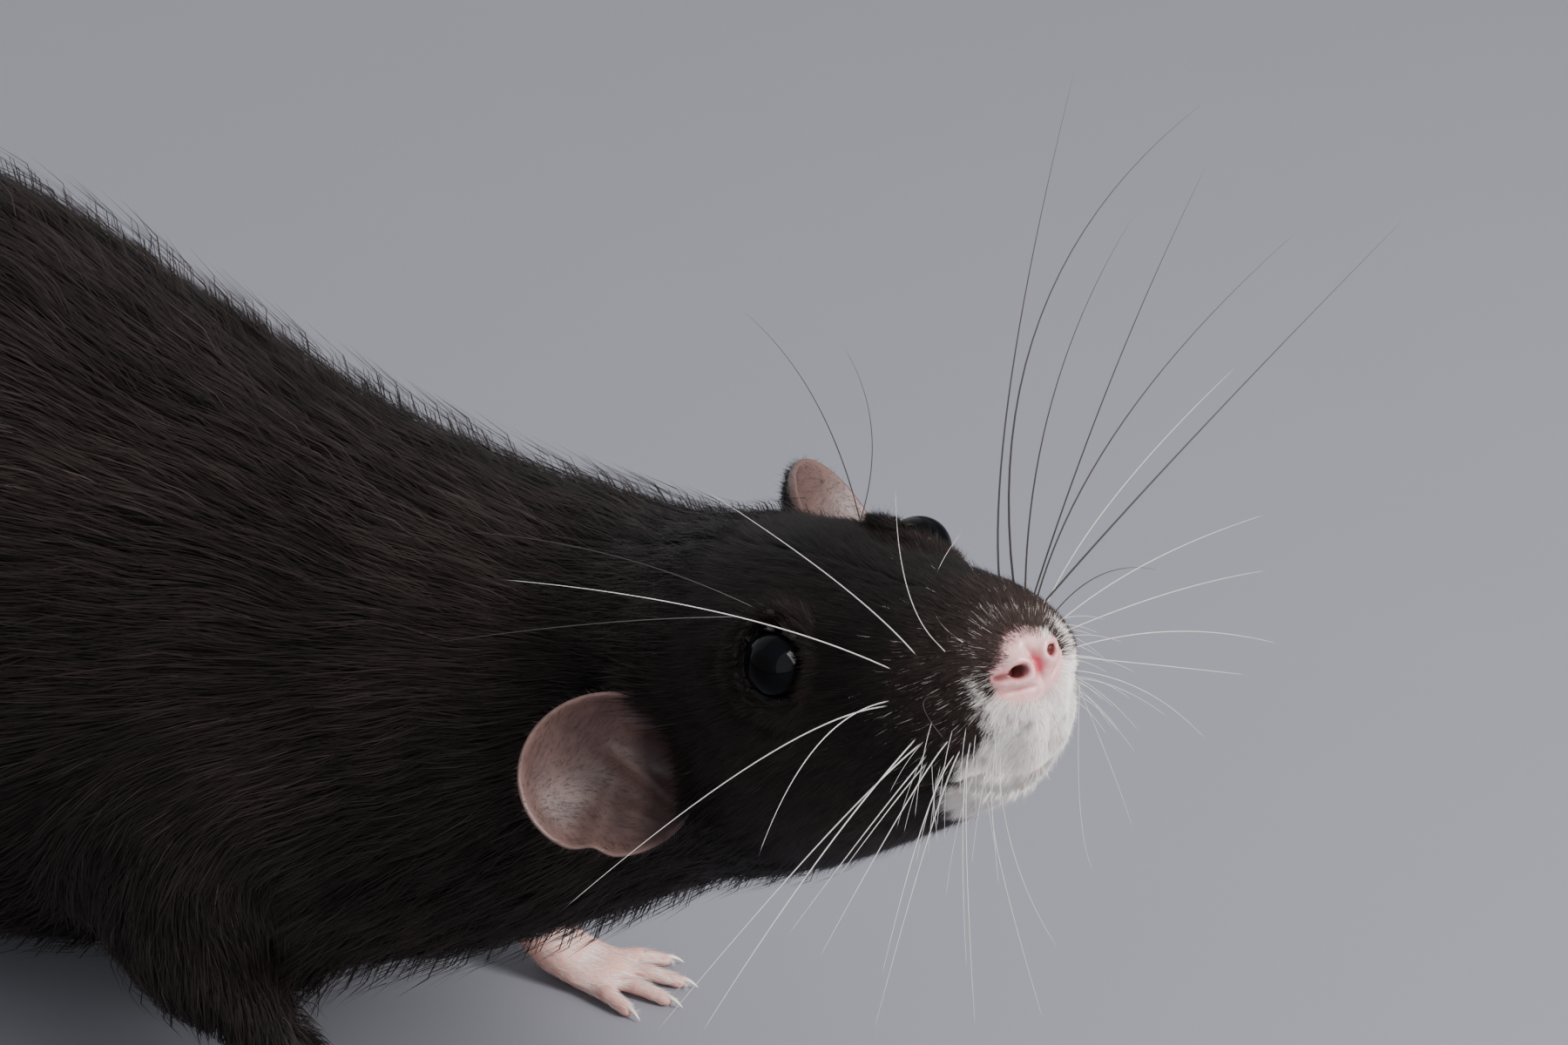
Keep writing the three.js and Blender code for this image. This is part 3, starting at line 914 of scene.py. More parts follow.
# ---- Flesh ----
class Flesh:
    """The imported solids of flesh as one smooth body, and how deep the skin lies in it."""

    closing = 0.35
    """How much the solids are swelled and shrunk again, to close the gaps between them."""
    head_reach = 46.0
    """How far the head's details reach from its origin."""
    head_box = (vec(-62, -131, 34), vec(12, -66, 92))
    """The box round those details, in the part's frame."""

    def __init__(self) -> None:
        """Makes the volumes that the skin is read from."""
        grid = Lattice()
        self.grid = grid
        nodes = TRUNK_NODES + LEG_NODES + PAW_NODES + FOOT_NODES + TAIL_NODES
        raw = grid.distances(*node_meshes(nodes), 2.2, fine=True)
        shell = vdb.FloatGrid(float(raw.values.max()))
        shell.copyFromArray(raw.values)
        points, quads = shell.convertToQuads(isovalue=self.closing)
        points = (points + raw.low) * raw.step
        quads = quads.astype(np.uint32)
        wide = grid.distances(points, quads, 9.0)
        wide.values += self.closing
        close = grid.distances(points, quads, 2.4, fine=True)
        close.values += self.closing
        LOG.info("flesh: %d quads of closed outline", len(quads))

        places = grid.places()
        nape = HEAD.into(places)[:, 1]
        self.near = {
            "paw": self.nearness(PAW_NODES, 3.0),
            "foot": self.nearness(FOOT_NODES, 3.0),
            "tail": self.nearness(TAIL_NODES, 4.0),
            "nose": self.nearness(("nose",), 1.6),
            "foreleg": self.nearness(LEG_NODES[:2], 6.0),
            "haunch": self.nearness(LEG_NODES[2:], 7.0),
            "ear": self.nearness(EAR_NODES, 3.5),
        }
        shape = wide.values.shape
        head = (1 - ramp(16.0, 36.0, nape)).reshape(shape)
        broad, middling = wide.softened(3.4), wide.softened(1.6)
        detail = close.softened(0.62)
        limbs = np.maximum(self.near["foreleg"].values, self.near["haunch"].values * 0.6)
        soft = mix(broad.values, middling.values, np.maximum(head, limbs))
        bare = np.maximum.reduce([self.near[k].values for k in ("paw", "foot", "tail", "nose")])
        muzzle = ramp(-13.0, -18.0, nape).reshape(shape)
        sharp = np.maximum(bare, muzzle)
        depth = self.depth(nape, places).reshape(shape)
        self.deep = Volume(depth, wide.low, wide.step)
        self.base = Volume((1 - sharp) * soft + depth, wide.low, wide.step)
        self.sharp = Volume(sharp.astype(Real), wide.low, wide.step)
        self.detail = detail

    def nearness(self, names: tuple[str, ...], reach: float) -> Volume:
        """1 in these nodes, falling to 0 at `reach` millimetres from them."""
        near = self.grid.distances(*node_meshes(names), reach + self.grid.step)
        return Volume((1 - ramp(0.0, reach, near.values)).astype(Real), near.low, near.step)

    def depth(self, nape: Array, places: Array) -> Array:
        """How far the skin lies inside the tips of the coat.

        Args:
            nape: how far back each place lies in the head's frame.
            places: places in the part's frame.

        Returns:
            The depth at each.
        """
        stops = [-26, -22.5, -18, -10, 0, 12, 28, 45, 60]
        depths = [0.12, 0.2, 0.45, 0.8, 1.0, 1.3, 2.0, 2.7, 3.0]
        made = np.interp(nape, stops, depths)
        low = ramp(20.0, 8.0, places[:, 2]) * ramp(20.0, 45.0, nape)
        made = mix(made, 2.2, low)
        rump = ramp(60.0, 80.0, places[:, 1])
        made = mix(made, 2.0, rump)
        for name, value in (
            ("foreleg", 1.3),
            ("haunch", 2.3),
            ("ear", 0.7),
            ("paw", 0.08),
            ("foot", 0.08),
            ("tail", 0.12),
            ("nose", 0.06),
        ):
            made = mix(made, value, self.near[name].values.ravel())
        ankle = np.maximum(self.near["foreleg"].values, self.near["haunch"].values).ravel()
        low = ramp(15.0, 6.0, places[:, 2]) * ankle
        return mix(made, 0.5, low * (1 - self.near["tail"].values.ravel())).astype(Real)

    def detailed(self, points: Array, flesh: Array, spare: float = 0.0) -> Array:
        """Adds muzzle, lids and ears to distances near the head.

        Args:
            points: places in the part's frame.
            flesh: distance of each from the plain form.
            spare: flesh added to the ears, so that a coarse grid can't miss them.

        Returns:
            The distances with all details.
        """
        place = HEAD.into(points)
        made = MUZZLE.shaped(place, flesh)
        for ear in EARS.values():
            made = joined_low(made, ear.distance(place, spare), 1.6)
        for eye in EYES.values():
            made = eye.lidded(place, made)
        return made

    def skin(self, points: Array) -> Array:
        """Distance of any points in the part's frame from the skin.

        Args:
            points: places in the part's frame.

        Returns:
            The distances, negative inside.
        """
        points = points.astype(Real)
        made = self.base.at(points) + self.sharp.at(points) * self.detail.at(points)
        place = points - np.array(HEAD.origin, Real)
        close = (place * place).sum(-1) < self.head_reach**2
        if close.any():
            made[close] = self.detailed(points[close], made[close])
        for foot in FEET.values():
            close = (foot.reach(points) < 13.0) & (points[:, 2] < 7.0)
            if close.any():
                made[close] = joined_low(made[close], foot.toes(points[close]), 0.5)
        return made

    def outward(self, points: Array, step: float = 0.12) -> Array:
        """The skin's outward direction at each point.

        Args:
            points: places in the part's frame.
            step: how far round each the skin is measured.

        Returns:
            The directions, one to a row.
        """
        parts = []
        for axis in range(3):
            side = np.zeros(3, Real)
            side[axis] = step
            parts.append(self.skin(points + side) - self.skin(points - side))
        return np.stack(parts, -1) / (2 * step)

    def block(self, volume: Volume, first: Array, last: Array) -> tuple[tuple[slice, ...], Array]:
        """A box of a volume's grid between two corners, and its points.

        Args:
            volume: the volume.
            first: the low corner.
            last: the high corner.

        Returns:
            The box as slices of the grid, and its points.
        """
        low, step = volume.low, volume.step
        first = np.maximum(np.floor(np.array(first) / step).astype(int) - low, 0)
        last = np.minimum(np.ceil(np.array(last) / step).astype(int) - low, volume.values.shape)
        box = tuple(slice(int(a), int(b)) for a, b in zip(first, last))
        return box, grid_points(low, first, last, step)

    def outline(self) -> tuple[Array, Array]:
        """The skin as points and quads on the fine grid.

        Returns:
            The vertices and the quads.
        """
        fine, weight = self.base.finer(), self.sharp.finer()
        fine.values += weight.values * self.detail.values
        low, step = fine.low, fine.step
        box, places = self.block(fine, *self.head_box)
        block = fine.values[box]
        close = np.abs(block).ravel() < 14.0
        values = block.ravel().copy()
        values[close] = self.detailed(places[close], values[close], 0.3)
        fine.values[box] = values.reshape(block.shape)
        for foot in FEET.values():
            high = foot.middle + np.array([24.0, 24.0, 6.0])
            box, places = self.block(fine, foot.middle - 24.0, high)
            block = fine.values[box]
            values = joined_low(block.ravel(), foot.toes(places) - 0.12, 0.5)
            fine.values[box] = values.reshape(block.shape)
        shell = vdb.FloatGrid(float(fine.values.max()))
        shell.copyFromArray(fine.values)
        points, quads = shell.convertToQuads(isovalue=0.0)
        return (points + low) * step, quads.astype(np.int64)


def split(points: Array, quads: Array, chosen: Array) -> tuple[Array, Array, list[Array]]:
    """Splits chosen quads in four, and gives their neighbours the new corners.

    Args:
        points: the vertices.
        quads: the faces.
        chosen: which quads to split.

    Returns:
        The new vertices, all faces with four corners that were not changed by a neighbour, and the others.
    """
    count = len(points)
    after = np.roll(quads, -1, axis=1)
    keys = np.minimum(quads, after) * count + np.maximum(quads, after)
    marked, where = np.unique(keys[chosen].ravel(), return_inverse=True)
    middles = 0.5 * (points[marked // count] + points[marked % count])
    centres = points[quads[chosen]].mean(1)
    made = np.concatenate([points, middles, centres])
    mid = count + where.reshape(-1, 4)
    hub = count + len(marked) + np.arange(len(mid))
    old = quads[chosen]
    fours = [np.stack([old[:, k], mid[:, k], hub, mid[:, k - 1]], -1) for k in range(4)]
    rest = quads[~chosen]
    rest_keys = keys[~chosen]
    found = np.searchsorted(marked, rest_keys)
    found = np.minimum(found, len(marked) - 1)
    hit = marked[found] == rest_keys
    plain = ~hit.any(1)
    others: list[Array] = []
    patterns = hit @ np.array([1, 2, 4, 8])
    for pattern in range(1, 16):
        rows = patterns == pattern
        if not rows.any():
            continue
        columns = []
        for k in range(4):
            columns.append(rest[rows, k])
            if pattern >> k & 1:
                columns.append(count + found[rows, k])
        others.append(np.stack(columns, -1))
    return made, np.concatenate([*fours, rest[plain]]), others


class Zone(Enum):
    """The kinds of skin, each with its own finish."""

    HIDE = 0
    NOSE = 1
    EAR = 2
    FOOT = 3
    TAIL = 4


def white_marking(place: Array) -> Array:
    """The white lips and chin, in the head's frame.

    Args:
        place: places in the head's frame.

    Returns:
        1 where it is white, 0 where it is dark.
    """
    across = MUZZLE.lateral(place)
    low = -(place[:, 2] + 5.6 + (place[:, 1] + 22.5)) - 2.0 * ramp(1.6, 3.6, across)
    reach = np.interp(place[:, 1], [-22.4, -21.4, -19.1, -15.5, -12.0], [4.7, 5.0, 6.8, 8.2, 7.6])
    edge = np.minimum(low, reach - np.abs(across)) + 0.35 * Ripple(5, 3.0).at(place)
    return ramp(-0.6, 0.6, edge) * ramp(2.0, -3.0, place[:, 1])


class Skin:
    """The animal's one skin, from nose to tail and toes."""

    def __init__(self, flesh: Flesh) -> None:
        """Draws the skin out of the flesh, and makes it finer where it has details.

        Args:
            flesh: the body that it covers.
        """
        self.flesh = flesh
        points, quads = flesh.outline()
        points = self.drawn(points.astype(Real), quads, 2)
        centres = points[quads].mean(1)
        points, quads, others = split(points, quads, self.detailed(centres))
        points = self.settled(points, 2)
        centres = points[quads].mean(1)
        place = HEAD.into(centres)
        fine = (length(place - NOSE_PAD)[:, 0] < 4.6) | (eye_gap(place) < 4.6)
        frozen = np.unique(np.concatenate([o.ravel() for o in others]))
        fine &= ~np.isin(quads, frozen).any(1)
        points, quads, more = split(points, quads, fine)
        self.points = self.settled(points, 2)
        self.points[:, 2] = np.maximum(self.points[:, 2], 0.0)
        self.faces = [quads, *others, *more]
        self.normals = unit(flesh.outward(self.points))
        self.orient()

    def drawn(self, points: Array, quads: Array, rounds: int) -> Array:
        """Evens the net of quads and lays it back on the skin, a few times.

        Args:
            points: the vertices.
            quads: the faces.
            rounds: how many times.

        Returns:
            The moved vertices.
        """
        after = np.roll(quads, -1, axis=1)
        first, second = quads.ravel(), after.ravel()
        counts = np.bincount(first, minlength=len(points)) + np.bincount(second, minlength=len(points))
        for _ in range(rounds):
            total = np.stack(
                [
                    np.bincount(first, points[second, a], len(points))
                    + np.bincount(second, points[first, a], len(points))
                    for a in range(3)
                ],
                -1,
            )
            points = mix(points, total / np.maximum(counts, 1)[:, None], 0.5).astype(Real)
            points = self.settled(points, 1)
        return points

    def settled(self, points: Array, rounds: int) -> Array:
        """Moves points straight to the skin.

        Args:
            points: places in the part's frame.
            rounds: how many times they move.

        Returns:
            The moved points.
        """
        for _ in range(rounds):
            slope = self.flesh.outward(points)
            steep = np.maximum((slope * slope).sum(-1, keepdims=True), 0.2)
            gap = np.clip(self.flesh.skin(points), -0.5, 0.5)[:, None]
            points = (points - gap * slope / steep).astype(Real)
        return points

    def detailed(self, centres: Array) -> Array:
        """Which faces lie where the skin has small shapes.

        Args:
            centres: the middles of the faces.

        Returns:
            True for each that does.
        """
        place = HEAD.into(centres)
        made = (length(place - NOSE_PAD)[:, 0] < 7.0) | (eye_gap(place) < 6.2)
        for ear in EARS.values():
            made |= length(ear.local(place))[:, 0] < 9.6
        mouth = np.abs(MUZZLE.mouth_height(place)) < 1.8
        made |= mouth & (place[:, 1] < -7.0) & (length(place)[:, 0] < 32)
        feet = np.maximum(self.flesh.near["paw"].at(centres), self.flesh.near["foot"].at(centres))
        return made | (feet > 0.9)

    def orient(self) -> None:
        """Turns all faces to look out."""
        face = self.faces[0][:4000]
        corners = self.points[face]
        facing = np.cross(corners[:, 1] - corners[:, 0], corners[:, 2] - corners[:, 0])
        if (facing * self.normals[face[:, 0]]).sum() < 0:
            self.faces = [f[:, ::-1] for f in self.faces]

    def marks(self, points: Array) -> dict[str, Array]:
        """The markings and kinds of skin at each point, from 0 to 1.

        Args:
            points: places on the skin, in the part's frame.

        Returns:
            Values by name; "along" on the tail is in millimetres from its root.
        """
        place = HEAD.into(points)
        near = {k: v.at(points) for k, v in self.flesh.near.items()}
        ear = np.zeros(len(points), Real)
        for one in EARS.values():
            local = one.local(place)
            share, _ = one.shares(local)
            ear = np.maximum(ear, ramp(0.85, 0.35, np.abs(one.distance(place, 0.25))) * (share < 1.2))
            ear *= 1 - ramp(-5.4, -7.4, local[:, 0]) * (share < 1.2)
        pad = MUZZLE.pad_reach(place)
        nose = ramp(1.12, 0.92, pad) * ramp(-20.6, -22.0, place[:, 1])
        ear_tone_and_painted_shade = np.full(len(points), 0.5, Real)
        for one in EARS.values():
            rows = length(one.local(place))[:, 0] < 12
            ear_tone_and_painted_shade[rows] = one.tone(place[rows])
        lip = bell(MUZZLE.mouth_height(place) + 0.5, 0.7) * ramp(-8.0, -11.0, place[:, 1])
        foot = np.maximum(ramp(0.55, 0.95, near["paw"]), ramp(0.55, 0.95, near["foot"]))
        return {
            "white": np.maximum(white_marking(place) * (length(place)[:, 0] < 60), foot),
            "nose": nose,
            "blush": ramp(1.85, 1.1, pad),
            "flush": MUZZLE.flush(place),
            # painted shade: the insides of the nostrils are coloured near black-red so that the shallow
            # holes look deep
            "nostril_painted_shade": ramp(0.22, -0.05, MUZZLE.nostrils(place)),
            "ear": ear,
            "ear_tone_and_painted_shade": ear_tone_and_painted_shade,
            "lid": ramp(4.3, 3.7, eye_gap(place)),
            "lip": lip * (length(place)[:, 0] < 40),
            "foot": foot,
            "tail": ramp(0.55, 0.95, near["tail"]),
            "warm": warm_marking(place, points),
        }

    def build(self, finishes: dict[Zone, Material]) -> Object:
        """Makes the skin's mesh, its marks and its finishes.

        Args:
            finishes: the material of each kind of skin.

        Returns:
            The skin as one object.
        """
        piece = make_piece("skin", self.points, self.faces)
        marks = self.marks(self.points)
        for name, values in marks.items():
            put(piece, name, values)
        near = marks["tail"] > 0
        along = np.zeros(len(self.points), Real)
        along[near] = TailLine().nearest(self.points[near]) * (TAIL_LENGTH / (TAIL_POINTS - 1))
        put(piece, "tail_along", along)
        kinds = np.zeros(len(self.points), np.int32)
        for zone, key in ((Zone.TAIL, "tail"), (Zone.FOOT, "foot"), (Zone.EAR, "ear"), (Zone.NOSE, "nose")):
            kinds[marks[key] > 0.5] = zone.value
        slots = np.concatenate([kinds[f[:, 0]] for f in self.faces]).astype(np.int32)
        for zone in Zone:
            piece.data.materials.append(finishes[zone])
        piece.data.polygons.foreach_set("material_index", slots)
        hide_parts(*[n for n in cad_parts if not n.startswith("eye")])
        LOG.info("skin: %d points, %d faces", len(self.points), len(slots))
        return piece


# ---- Finishes ----
class Graph:
    """Adds shader nodes to a tree and joins them."""

    def __init__(self, tree: NodeTree) -> None:
        """Takes the tree to add to."""
        self.tree = tree

    def node(self, kind: str, inputs: dict | None = None, **settings: object) -> Node:
        """Adds a node.

        Args:
            kind: its type.
            inputs: values or sockets for its inputs, by name or number.
            settings: its own settings.

        Returns:
            The node.
        """
        made = self.tree.nodes.new(kind)
        for name, value in settings.items():
            setattr(made, name, value)
        for name, value in (inputs or {}).items():
            if isinstance(value, Socket):
                self.tree.links.new(value, made.inputs[name])
            else:
                made.inputs[name].default_value = value
        return made

    def join(self, source: Socket, target: Socket) -> None:
        """Links one socket to another."""
        self.tree.links.new(source, target)

    def mark(self, name: str) -> Socket:
        """A number stored on the mesh."""
        return self.node("ShaderNodeAttribute", attribute_name=name).outputs["Fac"]

    def sum(self, kind: str, first: Amount, second: Amount) -> Socket:
        """A sum of two numbers, of any kind."""
        return self.node("ShaderNodeMath", {0: first, 1: second}, operation=kind).outputs[0]

    def plus(self, first: Amount, second: Amount) -> Socket:
        """Two numbers added."""
        return self.sum("ADD", first, second)

    def times(self, first: Amount, second: Amount) -> Socket:
        """Two numbers multiplied."""
        return self.sum("MULTIPLY", first, second)

    def blend(self, share: Amount, first: Paint, second: Paint) -> Socket:
        """A blend of two colours."""
        inputs = {0: share, 6: first, 7: second}
        return self.node("ShaderNodeMix", inputs, data_type="RGBA").outputs[2]

    def scaled(self, colour: Paint, factor: Amount) -> Socket:
        """A colour made lighter or darker."""
        return self.node("ShaderNodeVectorMath", {0: colour, "Scale": factor}, operation="SCALE").outputs[0]

    def step(self, value: Amount, low: float, high: float) -> Socket:
        """A smooth step from 0 at `low` to 1 at `high`."""
        inputs = {0: value, 1: low, 2: high}
        return self.node("ShaderNodeMapRange", inputs, interpolation_type="SMOOTHSTEP").outputs[0]

    def noise(self, size: float, detail: float = 3.0) -> Socket:
        """Even noise in space, with features about `size` millimetres across."""
        inputs = {"Vector": self.node("ShaderNodeTexCoord").outputs["Object"], "Scale": 1000.0 / size}
        return self.node("ShaderNodeTexNoise", inputs | {"Detail": detail, "Roughness": 0.55}).outputs["Fac"]

    def uneven(self, size: float, gain: float, base: float) -> Socket:
        """Noise of one size as a factor: `base`, and up to `gain` more."""
        return self.plus(self.times(self.noise(size), gain), base)

    def colour(self, source: Socket, body: Node) -> None:
        """Gives a shader its base colour."""
        self.join(source, body.inputs["Base Color"])

    def bump(self, body: Node, strength: float, depth: float, height: Amount) -> None:
        """Raises a shader's surface by a height, up to `depth` millimetres."""
        inputs = {"Strength": strength, "Distance": depth * MM, "Height": height}
        self.join(self.node("ShaderNodeBump", inputs).outputs[0], body.inputs["Normal"])

    def place_group(self, group: NodeTree, **values: object) -> Node:
        """Places a node group, with its inputs' values or sockets by name."""
        inputs = {name.replace("_", " "): value for name, value in values.items()}
        return self.node("ShaderNodeGroup", inputs, node_tree=group)


def node_group(name: str, inputs: dict[str, object], outputs: dict[str, str]) -> tuple:
    """A new shader node group.

    Args:
        name: the group's name.
        inputs: default values by input name: a number, or a colour.
        outputs: socket kinds by output name.

    Returns:
        The group, a graph in it, and its input and output nodes.
    """
    tree = bpy.data.node_groups.new(name, "ShaderNodeTree")
    for title, value in inputs.items():
        kind = "NodeSocketFloat" if isinstance(value, (int, float)) else "NodeSocketColor"
        tree.interface.new_socket(title, in_out="INPUT", socket_type=kind).default_value = value
    for title, kind in outputs.items():
        tree.interface.new_socket(title, in_out="OUTPUT", socket_type=kind)
    graph = Graph(tree)
    return tree, graph, graph.node("NodeGroupInput"), graph.node("NodeGroupOutput")


def opaque(colour: Colour) -> tuple[float, float, float, float]:
    """A colour with its alpha."""
    return (*colour, 1.0)


class Groups:
    """The shader node groups that several finishes share."""

    def __init__(self) -> None:
        """Builds each group once."""
        self.pelt = self.build_pelt()
        self.mottle = self.build_mottle()
        self.rings = self.build_rings()

    def build_pelt(self) -> NodeTree:
        """The markings of skin and coat: dark, brown where the coat is thin, white at lips and chin.

        Returns:
            The group.
        """
        tree, graph, given, out = node_group(
            "pelt markings",
            {
                "White": 0.0,
                "Warm": 0.0,
                "Tone": 1.0,
                "Along": 1.0,
                "Dark root": opaque((0.0045, 0.0034, 0.0031)),
                "Dark tip": opaque((0.0115, 0.0088, 0.008)),
                "Brown": opaque((0.036, 0.0245, 0.0215)),
                "White root": opaque((0.72, 0.58, 0.54)),
                "White tip": opaque((0.93, 0.905, 0.88)),
            },
            {"Color": "NodeSocketColor"},
        )
        dark = graph.blend(given.outputs["Along"], given.outputs["Dark root"], given.outputs["Dark tip"])
        warm = graph.blend(given.outputs["Warm"], dark, given.outputs["Brown"])
        toned = graph.scaled(warm, given.outputs["Tone"])
        pale = graph.blend(given.outputs["Along"], given.outputs["White root"], given.outputs["White tip"])
        final = graph.blend(given.outputs["White"], toned, pale)
        graph.join(final, out.inputs["Color"])
        return tree

    def build_mottle(self) -> NodeTree:
        """Bare skin: two colours in soft patches, with a fine grain to raise.

        Returns:
            The group.
        """
        tree, graph, given, out = node_group(
            "bare skin",
            {"Pale": opaque((0.7, 0.4, 0.35)), "Deep": opaque((0.5, 0.2, 0.18)), "Depth": 0.5},
            {"Color": "NodeSocketColor", "Height": "NodeSocketFloat"},
        )
        patches = graph.sum("SUBTRACT", graph.noise(2.6), 0.5)
        share = graph.plus(given.outputs["Depth"], graph.times(patches, 1.1))
        share = graph.node("ShaderNodeClamp", {"Value": share}).outputs[0]
        colour = graph.blend(share, given.outputs["Pale"], given.outputs["Deep"])
        graph.join(colour, out.inputs["Color"])
        graph.join(graph.noise(0.28, 2.0), out.inputs["Height"])
        return tree

    def build_rings(self) -> NodeTree:
        """Rings of scales round the tail, about one to a millimetre.

        Returns:
            The group.
        """
        tree, graph, given, out = node_group(
            "tail rings",
            {"Along": 0.0, "Pitch": 0.9},
            {"Ridge": "NodeSocketFloat"},
        )
        turn = graph.sum("DIVIDE", given.outputs["Along"], given.outputs["Pitch"])
        turn = graph.plus(turn, graph.times(graph.noise(3.0), 0.5))
        wave = graph.sum("SINE", graph.times(turn, 2 * pi), 0.0)
        ridge = graph.plus(graph.times(wave, 0.5), 0.5)
        graph.join(ridge, out.inputs["Ridge"])
        return tree


def shader(name: str, **settings: object) -> tuple[Material, Graph, Node]:
    """A material with one shader, its uniform values set on its own sockets.

    Args:
        name: the material's name.
        settings: socket values, with underscores for the spaces in their names.

    Returns:
        The material, a graph in it, and its shader.
    """
    made = bpy.data.materials.new(name)
    made.use_nodes = True
    made.node_tree.nodes.clear()
    graph = Graph(made.node_tree)
    body = graph.node("ShaderNodeBsdfPrincipled")
    for key, value in settings.items():
        body.inputs[key.replace("_", " ")].default_value = value
    output = graph.node("ShaderNodeOutputMaterial")
    graph.join(body.outputs[0], output.inputs[0])
    return made, graph, body


@dataclass(frozen=True)
class HairFinish:
    """The hairs of the coat."""

    roughness: float = 0.5

    def build(self, groups: Groups) -> Material:
        """The coat's material.

        Args:
            groups: the shared node groups.

        Returns:
            The material.
        """
        made, graph, body = shader("coat hair", Roughness=self.roughness, Specular_IOR_Level=0.13)
        marks = {name.capitalize(): graph.mark(name) for name in ("white", "warm", "tone", "along")}
        pelt = graph.place_group(groups.pelt, **marks)
        graph.colour(pelt.outputs[0], body)
        return made


@dataclass(frozen=True)
class BareFinish:
    """Bare skin in two colours, with its grain."""

    name: str
    pale: Colour
    deep: Colour
    depth: float = 0.4
    roughness: float = 0.45
    subsurface: float = 0.25
    scatter: float = 0.8
    grain: float = 0.05
    moist: float = 0.0

    def build(
        self, groups: Groups, mark: str | None = None, nostril_painted_shade: Colour | None = None
    ) -> Material:
        """The material.

        Args:
            groups: the shared node groups.
            mark: a number on the mesh that deepens its colour.
            nostril_painted_shade: the colour of the painted shade inside its openings.

        Returns:
            The material.
        """
        made, graph, body = shader(
            self.name,
            Roughness=self.roughness,
            Subsurface_Weight=self.subsurface,
            Subsurface_Radius=(1.0, 0.35, 0.25),
            Subsurface_Scale=self.scatter * MM,
            Coat_Weight=self.moist,
            Coat_Roughness=0.12,
        )
        share = graph.plus(graph.mark(mark), self.depth - 0.5) if mark else self.depth
        skin = graph.place_group(groups.mottle, Pale=opaque(self.pale), Deep=opaque(self.deep), Depth=share)
        colour = skin.outputs["Color"]
        # paints shade inside the nostrils
        if nostril_painted_shade:
            colour = graph.blend(graph.mark("nostril_painted_shade"), colour, opaque(nostril_painted_shade))
        graph.colour(colour, body)
        graph.bump(body, 0.6, self.grain, skin.outputs["Height"])
        return made


@dataclass(frozen=True)
class HideFinish:
    """The skin under the coat, with dark lids and pink lips."""

    roughness: float = 0.6
    pale: Colour = (0.74, 0.5, 0.46)
    lid: Colour = (0.008, 0.006, 0.006)
    blush: Colour = (0.55, 0.33, 0.3)
    lip: Colour = (0.62, 0.28, 0.24)

    def build(self, groups: Groups) -> Material:
        """The hide's material.

        Args:
            groups: the shared node groups.

        Returns:
            The material.
        """
        made, graph, body = shader("hide", Roughness=self.roughness, Specular_IOR_Level=0.35)
        pelt = graph.place_group(
            groups.pelt,
            Along=0.4,
            White_tip=opaque(self.pale),
            White=graph.mark("white"),
            Warm=graph.mark("warm"),
            Tone=graph.uneven(1.4, 0.8, 0.5),
        )
        blush = graph.times(graph.mark("blush"), 0.95)
        colour = graph.blend(blush, pelt.outputs[0], opaque(self.blush))
        colour = graph.blend(graph.mark("lid"), colour, opaque(self.lid))
        lips = graph.times(graph.mark("lip"), 0.85)
        colour = graph.blend(lips, colour, opaque(self.lip))
        graph.colour(colour, body)
        graph.bump(body, 0.5, 0.1, graph.noise(0.5))
        return made


@dataclass(frozen=True)
class TailFinish:
    """Ringed, scaly skin of the tail."""

    ridge: Colour = (0.2, 0.14, 0.13)
    groove: Colour = (0.07, 0.045, 0.045)

    def build(self, groups: Groups) -> Material:
        """The tail's material.

        Args:
            groups: the shared node groups.

        Returns:
            The material.
        """
        made, graph, body = shader("tail skin", Roughness=0.5, Specular_IOR_Level=0.45)
        rings = graph.place_group(groups.rings, Along=graph.mark("tail_along"))
        deep = graph.sum("SUBTRACT", 0.85, graph.times(rings.outputs[0], 0.7))
        skin = graph.place_group(
            groups.mottle, Pale=opaque(self.ridge), Deep=opaque(self.groove), Depth=deep
        )
        graph.colour(skin.outputs["Color"], body)
        height = graph.plus(rings.outputs[0], graph.times(skin.outputs["Height"], 0.4))
        graph.bump(body, 0.9, 0.15, height)
        return made


@dataclass(frozen=True)
class EyeFinish:
    """A wet dark eye: a black pupil in a dark blue-brown iris."""

    pupil: Colour = (0.001, 0.001, 0.001)
    iris: Colour = (0.0016, 0.0018, 0.0026)
    limbus: Colour = (0.002, 0.002, 0.002)
    pupil_edge: tuple[float, float] = (15.0, 24.0)
    iris_edge: tuple[float, float] = (46.0, 66.0)

    def build(self) -> Material:
        """The eye's material.

        Returns:
            The material.
        """
        made, graph, body = shader(
            "wet dark eye",
            Roughness=0.05,
            IOR=1.38,
            Specular_IOR_Level=0.09,
            Coat_Weight=0.04,
            Coat_Roughness=0.02,
        )
        inner, outer = (graph.step(graph.mark("turn"), *edge) for edge in (self.pupil_edge, self.iris_edge))
        iris = graph.scaled(self.iris, graph.uneven(0.5, 0.7, 0.6))
        colour = graph.blend(inner, opaque(self.pupil), iris)
        colour = graph.blend(outer, colour, opaque(self.limbus))
        graph.colour(colour, body)
        return made


@dataclass(frozen=True)
class HornFinish:
    """Smooth keratin, for claws and whiskers."""

    name: str
    root: Colour
    tip: Colour
    roughness: float = 0.32

    def build(self) -> Material:
        """The material, from root colour to tip colour.

        Returns:
            The material.
        """
        made, graph, body = shader(self.name, Roughness=self.roughness)
        colour = graph.blend(graph.mark("along"), opaque(self.root), opaque(self.tip))
        graph.colour(graph.scaled(colour, graph.uneven(0.8, 0.4, 0.8)), body)
        return made


